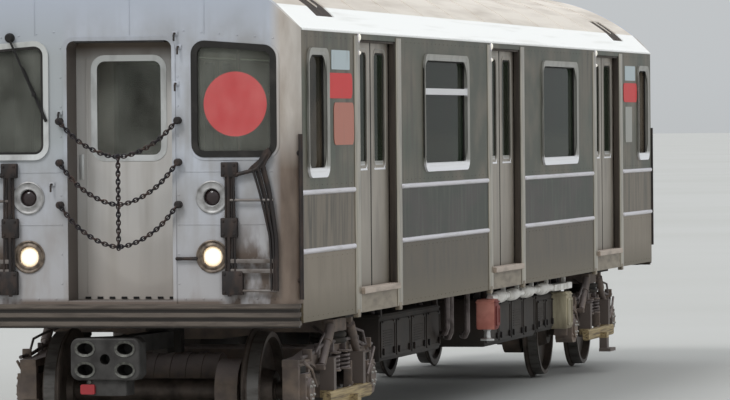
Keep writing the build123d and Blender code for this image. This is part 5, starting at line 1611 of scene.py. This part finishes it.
def chain_tree():
    """A tree that lays alternate upright and level links along a line of points."""
    group, inputs = new_group("chain_links", {
        "Pitch": "Float", "Half Length": "Float", "Width": "Float", "Wire": "Float",
    })
    half = reckon(
        group, "MULTIPLY", reckon(group, "DIVIDE", inputs["Width"], inputs["Half Length"]), 0.5
    )
    shape = add_node(group, "ShaderNodeCombineXYZ", {"X": 1.0, "Y": half, "Z": 1.0})
    loop = add_node(group, "GeometryNodeCurvePrimitiveCircle", {
        "Resolution": 12, "Radius": inputs["Half Length"],
    })
    oval = add_node(group, "GeometryNodeTransform", {
        "Geometry": loop.outputs["Curve"], "Scale": shape.outputs["Vector"],
    })
    upright = add_node(group, "GeometryNodeTransform", {
        "Geometry": oval.outputs["Geometry"], "Rotation": (0, pi / 2, 0),
    })
    wire = add_node(group, "GeometryNodeCurvePrimitiveCircle", {
        "Resolution": 6, "Radius": inputs["Wire"],
    })
    link = add_node(group, "GeometryNodeCurveToMesh", {
        "Curve": upright.outputs["Geometry"], "Profile Curve": wire.outputs["Curve"],
    })
    line = add_node(group, "GeometryNodeMeshToCurve", {"Mesh": inputs["Geometry"]})
    dots = add_node(group, "GeometryNodeCurveToPoints", {
        "Curve": line.outputs["Curve"], "Length": inputs["Pitch"],
    }, mode="LENGTH")
    number = add_node(group, "GeometryNodeInputIndex")
    odd = reckon(group, "MODULO", number.outputs["Index"], 2.0)
    twist = add_node(group, "FunctionNodeAxisAngleToRotation", {
        "Axis": (0, 0, 1), "Angle": reckon(group, "MULTIPLY", odd, pi / 2),
    })
    heading = add_node(group, "FunctionNodeRotateRotation", {
        "Rotation": dots.outputs["Rotation"], "Rotate By": twist.outputs["Rotation"],
    }, rotation_space="LOCAL")
    links = add_node(group, "GeometryNodeInstanceOnPoints", {
        "Points": dots.outputs["Points"], "Instance": link.outputs["Mesh"],
        "Rotation": heading.outputs["Rotation"],
    })
    close_group(group, links.outputs["Instances"], chain_steel)
    return group


def nurbs_route(name, points):
    """A curve of one smooth open spline with a route's points as its control points."""
    curve = bpy.data.curves.new(name, "CURVE")
    curve.dimensions = "3D"
    spline = curve.splines.new("NURBS")
    spline.points.add(len(points) - 1)
    for control, point in zip(spline.points, points):
        control.co = (*point, 1)
    spline.order_u = 3
    spline.use_endpoint_u = True
    made = bpy.data.objects.new(name, curve)
    bpy.context.scene.collection.objects.link(made)
    return made


shackles = Form()
for side in (-1, 1):
    for z in eye_zs:
        shackles.turned([
            (0.018, 0), (shackle_radius, 0.002), (shackle_radius, 0.010),
            (0.020, 0.014), (0.020, 0.024), (shackle_radius, 0.030),
            (shackle_radius, 0.050), (0.018, 0.058), (0, 0.058),
        ], (mask_x, side * eye_y, z), (1, 0, 0), 12)
shackles.at_both_ends().piece("chain_shackles", "carbody", "dark_steel", dark_iron)

chain_links = chain_tree()
for end, turn in (("front", 1), ("rear", -1)):
    routes = []
    for high_z, drop in zip(eye_zs, swag_drops):
        half = [(chain_x, eye_y, high_z)]
        half += [(chain_x, eye_y * out, high_z - drop * down) for out, down in swag_shape]
        routes.append(half + [(x, -y, z) for x, y, z in reversed(half[:-1])])
    foot, head = eye_zs[-1] - swag_drops[-1], eye_zs[0] - swag_drops[0]
    routes.append([(chain_x, 0, head), (chain_x, 0, (head + foot) / 2), (chain_x, 0, foot)])
    for number, route in enumerate(routes, start=1):
        name = f"safety_chain_{end}_{number}"
        core = nurbs_route(name + "_core", [(turn * x, turn * y, z) for x, y, z in route])
        graph = bpy.context.evaluated_depsgraph_get()
        line = bpy.data.meshes.new_from_object(core.evaluated_get(graph), depsgraph=graph)
        links = grown(name + "_links", chain_links, {
            "Pitch": link_pitch, "Half Length": link_half, "Width": chain_width,
            "Wire": wire_radius,
        }, "carbody", line)
        core.data.bevel_depth = core_radius
        core.data.materials.append(chain_steel)
        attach(core, "carbody")
        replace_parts(core, f"safety_chains_{end}")

# Anticlimbers
# Ribbed cast beams across each end that lock together in a collision: dark below, in level
# bands of warm grey on the ribs and nearly black between them.
rib_pitch = 0.062
rib_share = 0.62


def banded(tree, light, dark, top_z, pitch, share):
    """Level bands of two colours down from a height."""
    drop = reckon(tree, "SUBTRACT", top_z, coordinate(tree, "Z"))
    dim = reckon(tree, "GREATER_THAN", reckon(tree, "MODULO", drop, pitch), pitch * share)
    return blend(tree, dim, light, dark)


# cast steel in level bands down from the floor: warm grey on the ribs, nearly black between
# them
beam_steel, tree, shader = new_material(
    "banded_anticlimber_steel", "#6b635b", metallic=0.25, roughness=0.55
)
worn = patches(tree, "#5f564e", "#3f3732", (0.25, 0.25, 0.03), 0.45, 0.75)
tree.links.new(
    banded(tree, worn, "#2d2824", floor_z, rib_pitch, rib_share), shader.inputs["Base Color"]
)
grain(tree, shader, (0.04, 0.04, 0.02), 0.002)
finish_nodes(beam_steel, "anticlimbers")

# Couplers
# Cast automatic heads on a shank that swings sideways: dirty grey castings with a machined
# face, air ports and an electric box, and a red-handled cock hung below on the left.
coupler_z = 0.745
coupler_pivot_x = body_end_x - 1.093
coupler_rest = radians(-4.5)
coupler_middle = Matrix.Translation((coupler_pivot_x, 0, 0))
swung = coupler_middle @ Matrix.Rotation(coupler_rest, 4, "Z") @ coupler_middle.inverted()
coupler_face = mask_x + 0.085
box_face = coupler_face - 0.030
port_y = 0.150
port_z = 0.075
port_half_width = 0.062
port_half_height = 0.042
port_lip = 0.016
cover_middle = (-0.136, 0.530)
cover_size = (0.106, 0.070)
box_bolt = (-0.124, 0.582)

# cast steel with grease and brake dust: charcoal, uneven, faintly shiny
cast_steel = soiled(
    "dirty_cast_steel", "#3d3b39", "#211e1c", (0.12, 0.12, 0.12), 0.4, 0.7,
    ((0.012, 0.012, 0.012), 0.0015), metallic=0.3, roughness=0.6,
)
finish_nodes(cast_steel, "coupler_front", "coupler_rear")

# machined steel: clean bright rings round the ports and on the bolts
bright_steel = new_material(
    "machined_bright_steel", "#a5a29c", metallic=0.8, roughness=0.3
)[0]
# the same steel gone grey: dull, darker in the hollows
worn_lip = soiled(
    "grey_worn_lip_steel", "#5f5f59", "#34322f", (0.03, 0.03, 0.03), 0.4, 0.7,
    metallic=0.4, roughness=0.5,
)
# plain red enamel on the cock's cover
red_paint = new_material("red_cover_paint", "#8f2429", roughness=0.5)[0]


def oval(y, z, grow):
    """The outline of an air port's opening, moved out all round."""
    return [(y + (port_half_width + grow) * c, z + (port_half_height + grow) * s)
            for c, s in circle(32)]


for end, turn in (("front", Matrix.Identity(4)), ("rear", half_turn)):
    lips = Form()
    for y in (-port_y, port_y):
        for z in (coupler_z - port_z, coupler_z + port_z):
            lips.ring(oval(y, z, port_lip), oval(y, z, -0.002), "X", coupler_face - 0.004,
                      coupler_face + 0.006, 0.007)
    lips.turned([(0, 0), (0.016, 0), (0.013, 0.014), (0, 0.014)],
                (box_face, *box_bolt), (1, 0, 0), 12)
    cover = Form()
    cover.plate(rounded(*cover_middle, *cover_size, 0.012), "X", box_face, box_face + 0.024)
    for form, word, material, slot in (
        (lips, "lips", worn_lip, "frame_metal"), (cover, "cover", red_paint, "sign"),
    ):
        form.moved(turn @ swung).piece(f"coupler_{end}_{word}", f"coupler_{end}", slot, material)

# Trucks
# Fabricated side frames on rubber chevrons and air bellows, with motors, tread brakes, and a
# wooden beam outside each pair of journals for the contact shoe; all under brake dust.
truck_hex = "#695e58"
truck_dust_hex = "#8c7b6d"
truck_top_highlight_hex = "#aca09e"
truck_x = body_end_x - 2.157
axle_z = 0.460
axle_offset = 1.0415
frame_face_y = 1.050
cap_face_y = 1.110
cap_bolt_circle = 0.062
cap_bolt_count = 6
box_bolt_y = 1.090
box_bolts = [(across, z) for across in (-0.100, 0.100) for z in (axle_z - 0.060, axle_z + 0.090)]
tread_radius = 0.432
coil_radius = 0.050
coil_wire = 0.011
coil_turns = 4
coil_pitch = 0.030
pipe_radius = 0.014
wood_hex = "#b49f74"
beam_low_z = 0.328
beam_high_z = 0.434
# along from the pivot, out from the frame's face, up from the axles: what follows is set out
# for the forward half of a side, and stands mirrored on its other half
damper_ends = ((0.62, 0.035, 0.16), (0.30, 0.035, 0.46))
coil_place = (0.17, 0.012, 0.110)
brake_rod = ((0.46, 0.020, -0.020), (0.30, 0.020, -0.075), (0.06, 0.020, -0.080))
frame_stay = ((1.20, 0.030, 0.215), (1.02, 0.052, 0.150), (0.86, 0.052, 0.020))
branch_pipe = ((0.84, 0.040, 0.270), (0.70, 0.052, 0.360), (0.52, 0.030, 0.390),
               (0.40, -0.080, 0.440))
# place along, half thickness; nearest and farthest; lowest and highest: lever, lifting eye
upright_plates = ((0.40, 0.014, (-0.030, 0.034), (-0.110, 0.150)),
                  (1.00, 0.012, (-0.020, 0.050), (0.225, 0.300)))
# along and up, for the pipe that runs the length of a side, and its clips
main_pipe = ((-1.18, 0.245), (-0.90, 0.255), (-0.44, 0.318), (0.44, 0.318), (0.90, 0.255),
             (1.18, 0.245))
pipe_clips = (-0.66, -0.20, 0.20, 0.66)
frame_bolts = (-1.10, -0.78, -0.36, 0.36, 0.78, 1.10)
# across the tread and out from it, round the band's section
band_section = ((0.722, -0.004), (0.722, 0.0008), (0.806, -0.0016), (0.806, -0.006))

# dark paint under iron-brown brake dust: matt; every upward face turns lilac-grey, partly
# dust and partly painted highlight from the sky
truck_paint, tree, shader = new_material("dusted_and_highlit_truck_paint", truck_hex, roughness=0.75)
dusted = patches(tree, truck_hex, truck_dust_hex, (0.15, 0.15, 0.12), 0.4, 0.72)
facing = add_node(tree, "ShaderNodeNewGeometry")
lift = add_node(tree, "ShaderNodeSeparateXYZ", {"Vector": facing.outputs["Normal"]})
# painted highlight, partly dust: lilac-grey on upward faces
top_highlight = rising(tree, lift.outputs["Z"], 0.25, 1.0)
tree.links.new(blend(tree, top_highlight, dusted, truck_top_highlight_hex), shader.inputs["Base Color"])
grain(tree, shader, (0.02, 0.02, 0.02), 0.002)
finish_nodes(
    truck_paint, "truck_frame_front", "truck_frame_rear", "truck_motors_front",
    "truck_motors_rear",
)

# moulded rubber, dusty
bellows_rubber = soiled(
    "dusty_bellows_rubber", "#26231f", "#453d34", (0.1, 0.1, 0.04), 0.45, 0.75, roughness=0.8
)
finish_nodes(bellows_rubber, "truck_springs_front", "truck_springs_rear")

# oiled hardwood, worn pale: straight grain along the beam, dark in the pores; its cast arms
# and shoe keep the truck's brown-black
wood, tree, shader = new_material("oiled_shoe_beam_wood", wood_hex, roughness=0.65)
grained = patches(tree, wood_hex, "#5c4a34", (0.35, 0.02, 0.012), 0.4, 0.7)
tree.links.new(
    between(tree, "Z", grained, truck_hex, beam_low_z, beam_high_z), shader.inputs["Base Color"]
)
grain(tree, shader, (0.3, 0.008, 0.006), 0.0015)
finish_nodes(wood, "shoe_beams_front", "shoe_beams_rear")

# rolled wheel steel: rusty brown on the web, polished only on the tread
wheel_steel = soiled(
    "rolled_wheel_steel", "#544a43", "#302924", (0.12, 0.12, 0.12), 0.4, 0.7,
    ((0.02, 0.02, 0.02), 0.0012), metallic=0.5, roughness=0.5,
)
finish_nodes(wheel_steel, "wheelset_1", "wheelset_2", "wheelset_3", "wheelset_4")

# galvanised pipe and spring steel, under the same dust
dusty_pipe = soiled(
    "dusty_pipe_steel", "#7a706e", "#463d39", (0.08, 0.08, 0.08), 0.4, 0.7,
    metallic=0.3, roughness=0.55,
)



def beside(side, points, along=1):
    """Points of a truck's table, set on one side of the car and mirrored along it."""
    return [(along * x, side * (frame_face_y + out), axle_z + up) for x, out, up in points]


def across_face(side, reaches):
    """Two places across the car from two distances out from the frame's face."""
    return [side * (frame_face_y + reach) for reach in reaches]


truck_heads = stud_tree("truck_bolt_heads", bright_steel)
dull_heads = stud_tree("dull_bolt_heads", truck_paint)
for end, turn in (("front", 1), ("rear", -1)):
    body = f"truck_{end}"
    caps, dull = [], []
    for side in (-1, 1):
        for middle in (-axle_offset, axle_offset):
            for step in range(cap_bolt_count):
                angle = 2 * pi * (step + 0.5) / cap_bolt_count
                caps.append(((
                    turn * (truck_x + middle + cap_bolt_circle * cos(angle)),
                    side * cap_face_y, axle_z + cap_bolt_circle * sin(angle),
                ), (0, side, 0)))
            dull += [((turn * (truck_x + middle + across), side * box_bolt_y, z), (0, side, 0))
                     for across, z in box_bolts]
        for x in frame_bolts:
            dull.append(((turn * (truck_x + x), side * (frame_face_y - 0.014), axle_z + 0.215),
                         (0, side, 0)))
    studs(f"{body}_cap_bolts", truck_heads, caps, 0.013, 0.012, body)
    studs(f"{body}_frame_bolts", dull_heads, dull, 0.016, 0.012, body)

    # shock absorbers, coil springs, brake rods and levers, lifting eyes and pipes
    iron, pipes, coils = Form(), Form(), Form()
    for side in (-1, 1):
        for along in (-1, 1):
            foot, head = beside(side, damper_ends, along)
            run = Vector(head) - Vector(foot)
            iron.turned([
                (0, 0), (0.030, 0), (0.030, 0.55 * run.length), (0.038, 0.56 * run.length),
                (0.038, 0.92 * run.length), (0.016, 0.93 * run.length), (0.016, run.length),
                (0, run.length),
            ], foot, run, 14)
            for (x, _, z), rise in ((foot, -0.030), (head, -0.012)):
                iron.block((x - 0.035, x + 0.035), across_face(side, (-0.012, 0.060)),
                           (z + rise, z + rise + 0.042), 0.005)
            coil_x, coil_y, coil_z = beside(side, [coil_place], along)[0]
            coils.bar([
                (coil_x + coil_radius * c, coil_y + coil_radius * s,
                 coil_z + coil_pitch * (winding + step / 12))
                for winding in range(coil_turns) for step, (c, s) in enumerate(circle(12))
            ] + [(coil_x + coil_radius, coil_y, coil_z + coil_pitch * coil_turns)], coil_wire, 6)
            for z in (coil_z - 0.012, coil_z + 0.002 + coil_pitch * coil_turns):
                iron.turned([(0, 0), (coil_radius + 0.016, 0), (coil_radius + 0.016, 0.012),
                             (0, 0.012)], (coil_x, coil_y, z), (0, 0, 1), 16)
            iron.bar(beside(side, brake_rod, along), 0.013)
            for x, half, reaches, heights in upright_plates:
                iron.block((along * x - half, along * x + half), across_face(side, reaches),
                           [axle_z + height for height in heights], 0.006)
            iron.bar(beside(side, frame_stay, along), 0.011)
            pipes.bar(beside(side, branch_pipe, along), 0.010)
        pipes.bar(beside(side, [(x, 0.012, up) for x, up in main_pipe]), pipe_radius)
        for x in pipe_clips:
            pipes.block((x - 0.014, x + 0.014), across_face(side, (-0.010, 0.030)),
                        (axle_z + 0.245, axle_z + 0.330), 0.004)
    for form, word, material, slot in (
        (iron, "fittings", truck_paint, "truck_paint"), (pipes, "pipes", dusty_pipe, "dark_steel"),
        (coils, "coil_springs", dusty_pipe, "dark_steel"),
    ):
        form.moved(Matrix.Translation((truck_x, 0, 0)))
        if turn < 0:
            form.moved(half_turn)
        form.piece(f"{body}_{word}", body, slot, material)

# polished running bands on the treads, one piece for each wheelset
axle_xs = (truck_x + axle_offset, truck_x - axle_offset, axle_offset - truck_x,
           -truck_x - axle_offset)
# forged steel burnished by running: a dark even shine
tread_steel = soiled(
    "burnished_tread_steel", "#6a6764", "#45403c", (0.05, 0.2, 0.05), 0.45, 0.75,
    metallic=0.6, roughness=0.4,
)
for number, x in enumerate(axle_xs, start=1):
    bands = Form()
    for side in (-1, 1):
        bands.loft([
            [(x + (tread_radius + out) * c, side * y, axle_z + (tread_radius + out) * s)
             for c, s in circle(64)]
            for y, out in band_section
        ], closed=True)
    bands.piece(f"tread_bands_{number}", f"wheelset_{number}", "wheel_steel", tread_steel)

# Underfloor
# Steel cases for switch gear, compressor and battery hang from cross members on straps, with
# hinged, latched and louvred doors; road dirt has turned them all brown-black, apart from one
# repainted red and one left beige. A resistor bank with grouped fins runs along the left sill.
box_hex = "#352c25"
under_top_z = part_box("underframe")[1].z
case_bevel = 0.018
door_margin = 0.022
door_rise = 0.012
louvre_rows = 7
strap_half = 0.025
strap_reach_y = 1.120
strap_inset = 0.085
lid_lip = 0.006
latch_share = 0.34
conduit_radius = 0.022
splash_zs = (0.45, 0.62)
face_ys = (1.258, 1.262)
# side, start and end, nearest and farthest from the middle, lowest and highest, doors
case_rows = (
    (1, -2.350, -0.050, 0.420, 1.098, 0.480, 0.895, 4),
    (1, -3.250, -2.450, 0.500, 1.098, 0.500, 0.840, 2),
    (1, 1.150, 3.500, 0.420, 0.950, 0.520, 0.895, 4),
    (-1, -3.500, -1.500, 0.450, 1.218, 0.480, 0.895, 3),
    (-1, -1.150, 1.100, 0.450, 1.168, 0.500, 0.895, 4),
    (-1, 1.350, 3.500, 0.500, 1.218, 0.450, 0.895, 3),
)
red_row = (1, 0.165, 0.345, 1.100, 1.268, 0.645, 0.903, 1)
beige_row = (1, -3.580, -3.300, 0.600, 1.226, 0.500, 0.840, 1)
# place along and lowest height of each pipe, and how far out they hang
drop_pipes = ((1.30, 0.62), (1.46, 0.66), (0.62, 0.60))
drop_y = 1.08


def case_material(name, clean, dirty, size, outer_hex=None):
    """Painted sheet steel, dirtier toward the road; the outer face may have its own colour."""
    material, tree, shader = new_material(name, clean, roughness=0.7)
    spotted = patches(tree, clean, dirty, size, 0.42, 0.75)
    colour = by_height(tree, dirty, spotted, *splash_zs)
    if outer_hex:
        colour = by_reach(tree, "Y", colour, outer_hex, *face_ys)
    tree.links.new(colour, shader.inputs["Base Color"])
    grain(tree, shader, (0.1, 0.1, 0.1), 0.002)
    return material


# brown-black with dirt, dull
case_paint = case_material("road_dirty_case_paint", box_hex, "#211c18", (0.3, 0.3, 0.2))
# repainted red, with painted light and shade: salmon on its ends, dark red on its outer face
red_case_paint = case_material(
    "red_case_paint_lit_and_shaded", "#eba090", "#c77568", (0.15, 0.15, 0.15), outer_hex="#7a3833"
)
# old beige enamel, rain-streaked
beige_case_paint = case_material(
    "streaked_beige_case_paint", "#b5ab90", "#736955", (0.05, 0.05, 0.3)
)
finish_nodes(case_paint, "equipment_boxes")

hangers, latches, conduits = Form(), Form(), Form()


def equipment_case(form, side, x0, x1, in_y, out_y, z0, z1, doors):
    """A case with a lid, straps up to the floor, and doors on its outer face."""
    form.block((x0, x1), (side * in_y, side * out_y), (z0, z1), case_bevel)
    form.block((x0 - lid_lip, x1 + lid_lip), (side * in_y, side * (out_y + lid_lip)),
               (z1 - 0.030, z1 - 0.018), 0.003)
    strap_y = side * (min(out_y, strap_reach_y) - strap_half)
    for x in (x0 + strap_inset, x1 - strap_inset):
        hangers.block((x - strap_half, x + strap_half),
                      (strap_y - strap_half, strap_y + strap_half),
                      (z1 - 0.025, under_top_z), 0.004)
    pitch = (x1 - x0) / doors
    face = side * out_y
    for number in range(doors):
        x = x0 + (number + 0.5) * pitch
        middle, width, height = (
            (z0 + z1) / 2 - 0.012, pitch - 2 * door_margin, z1 - z0 - 4 * door_margin
        )
        outer = rounded(x, middle, width, height, 0.020)
        inner = rounded(x, middle, width - 0.050, height - 0.050, 0.012)
        form.ring(outer, inner, "Y", face, face + side * door_rise)
        form.plate(inner, "Y", face, face + side * door_rise * 0.45)
        if number % 2:
            for row in range(louvre_rows):
                z = z0 + (z1 - z0) * (0.34 + 0.32 * row / (louvre_rows - 1))
                form.loft([
                    [(x - reach, face, z), (x - reach, face + side * 0.010, z - 0.006),
                     (x - reach, face + side * 0.010, z - 0.009), (x - reach, face, z - 0.014)]
                    for reach in (0.30 * pitch, -0.30 * pitch)
                ])


cases = Form()
for side, x0, x1, in_y, out_y, z0, z1, doors in case_rows:
    equipment_case(cases, side, x0, x1, in_y, out_y, z0, z1, doors)
    face = side * (out_y + door_rise)
    pitch = (x1 - x0) / doors
    for number in range(doors):
        x = x0 + (number + 0.5) * pitch
        for latch_x in (x - latch_share * pitch, x + latch_share * pitch):
            latches.block((latch_x - 0.012, latch_x + 0.012),
                          (face - side * 0.004, face + side * 0.014),
                          (z0 + 0.050, z0 + 0.105), 0.003)
            latches.bar([(latch_x - 0.030, face, z1 - 0.062),
                         (latch_x + 0.030, face, z1 - 0.062)], 0.009, 8)
    conduits.bar([
        (x0 - 0.06, side * (out_y - 0.10), 0.985), (x0 + 0.10, side * (out_y - 0.08), 0.960),
        (x1 - 0.10, side * (out_y - 0.08), 0.960), (x1 + 0.06, side * (out_y - 0.10), 0.985),
    ], conduit_radius)
    for x in (x0 + 0.25, x1 - 0.25):
        conduits.turned([(0, 0), (0.030, 0), (0.030, 0.018), (0.020, 0.018), (0.020, 0.080),
                         (0, 0.080)], (x, side * (out_y - 0.12), z1 - 0.002), (0, 0, 1), 12)
# three pipes on the left drop from the floor and turn in behind the cases
for x, z in drop_pipes:
    conduits.bar([(x, drop_y, 1.00), (x, drop_y, z + 0.05), (x - 0.04, drop_y - 0.03, z),
                  (x - 0.16, drop_y - 0.08, z)], 0.024)
red_case, beige_case, leg = Form(), Form(), Form()
equipment_case(red_case, *red_row)
equipment_case(beige_case, *beige_row)
leg.turned([(0, 0), (0.060, 0), (0.060, 0.014), (0.030, 0.024), (0.026, 0.080), (0.040, 0.097),
            (0, 0.097)], (0.255, 1.180, 0.550), (0, 0, 1), 16)
for form, word, material in (
    (cases, "brown", case_paint), (red_case, "red", red_case_paint),
    (beige_case, "beige", beige_case_paint),
):
    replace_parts(form.piece(f"equipment_cases_{word}", "carbody", "box_paint", material),
                "equipment_boxes")
hangers.piece("case_hangers", "carbody", "dark_steel", dark_iron)
latches.piece("case_latches", "carbody", "box_paint", dark_iron)
conduits.piece("underfloor_conduits", "carbody", "dark_steel", dusty_pipe)
leg.piece("case_leg", "carbody", "box_paint", aluminium)

# structural steel, undercoated: black-brown, matt
undercoat = soiled(
    "black_undercoat", "#282421", "#40372f", (0.3, 0.3, 0.3), 0.45, 0.75, roughness=0.85
)
finish_nodes(undercoat, "underframe", "air_reservoirs")

# aluminium fins over ceramic tubes, brightest where they bulge, painted near-white as painted
# light against the shade under the floor
fin_metal_painted_light = soiled(
    "resistor_fins_painted_light", "#f4f1eb", "#b9b4aa", (0.12, 0.12, 0.12), 0.45, 0.8, roughness=0.5
)
bank_y, bank_z = 1.185, 0.905
bank_start, bank_length = 0.150, 2.86
rod_radius = 0.030
fin_pitch = 0.030
fin_radius = 0.034
fin_swell = 0.020
bank_hangers = (-3.45, -2.58, -1.85, -1.16, -0.53, 0.08)
bank_groups = ((-0.08, -0.44), (-0.62, -1.02), (-1.30, -1.70), (-2.06, -2.48))
end_case = ((-3.560, -2.700), (1.142, 1.232), (0.868, 0.928))
bank = Form()
bank.turned([(0, 0), (rod_radius, 0), (rod_radius, bank_length), (0, bank_length)],
            (bank_start, bank_y, bank_z), (-1, 0, 0), 16)
for start, end in bank_groups:
    middle, half = (start + end) / 2, (start - end) / 2
    count = int((start - end) / fin_pitch)
    for number in range(count + 1):
        x = start - number * fin_pitch
        swell = sqrt(max(0.0, 1 - ((x - middle) / (half * 1.08)) ** 2))
        radius = fin_radius + fin_swell * swell
        bank.turned([(0.028, 0), (radius - 0.003, 0), (radius, 0.004), (radius, 0.013),
                     (radius - 0.003, 0.017), (0.028, 0.017)], (x, bank_y, bank_z), (-1, 0, 0), 24)
bank.block(*end_case, 0.008)
for x in bank_hangers:
    bank.block((x - 0.010, x + 0.010), (1.150, 1.188), (bank_z, under_top_z), 0.002)
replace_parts(bank.piece("resistor_fins", "carbody", "resistor", fin_metal_painted_light), "resistor_bank")

# Saloon
# Moulded orange benches, polished poles, grey cab consoles and two milky rows of ceiling
# lights, all seen dimly through the glass.
seat_hex = "#b8793c"
light_half_length = 6.20
light_ys = (-0.62, -0.30)
light_zs = (3.36, 3.38)

# moulded glass-fibre: even orange, softly glossy
fibreglass = soiled(
    "orange_moulded_fibreglass", seat_hex, "#9a6531", (0.4, 0.4, 0.4), 0.4, 0.8, roughness=0.35
)
finish_nodes(fibreglass, "seats")
# steel tube, polished: bright and even
pole_steel = new_material(
    "polished_pole_steel", "#b9b9b7", metallic=0.9, roughness=0.2
)[0]
finish_nodes(pole_steel, "stanchions")
# grey painted console sheet
console_paint = new_material("grey_console_paint", "#6f716e", roughness=0.5)[0]
finish_nodes(console_paint, "cab_consoles")

# opal acrylic, softly lit from behind
diffuser = new_material(
    "milky_light_diffuser", "#e9eae4", roughness=0.4, Emission_Color=linear("#f3f5ea"),
    Emission_Strength=0.6,
)[0]
lights = Form()
lights.block((-light_half_length, light_half_length), light_ys, light_zs, 0.004)
lights.on_both_sides().piece("ceiling_lights", "carbody", "lens", diffuser)
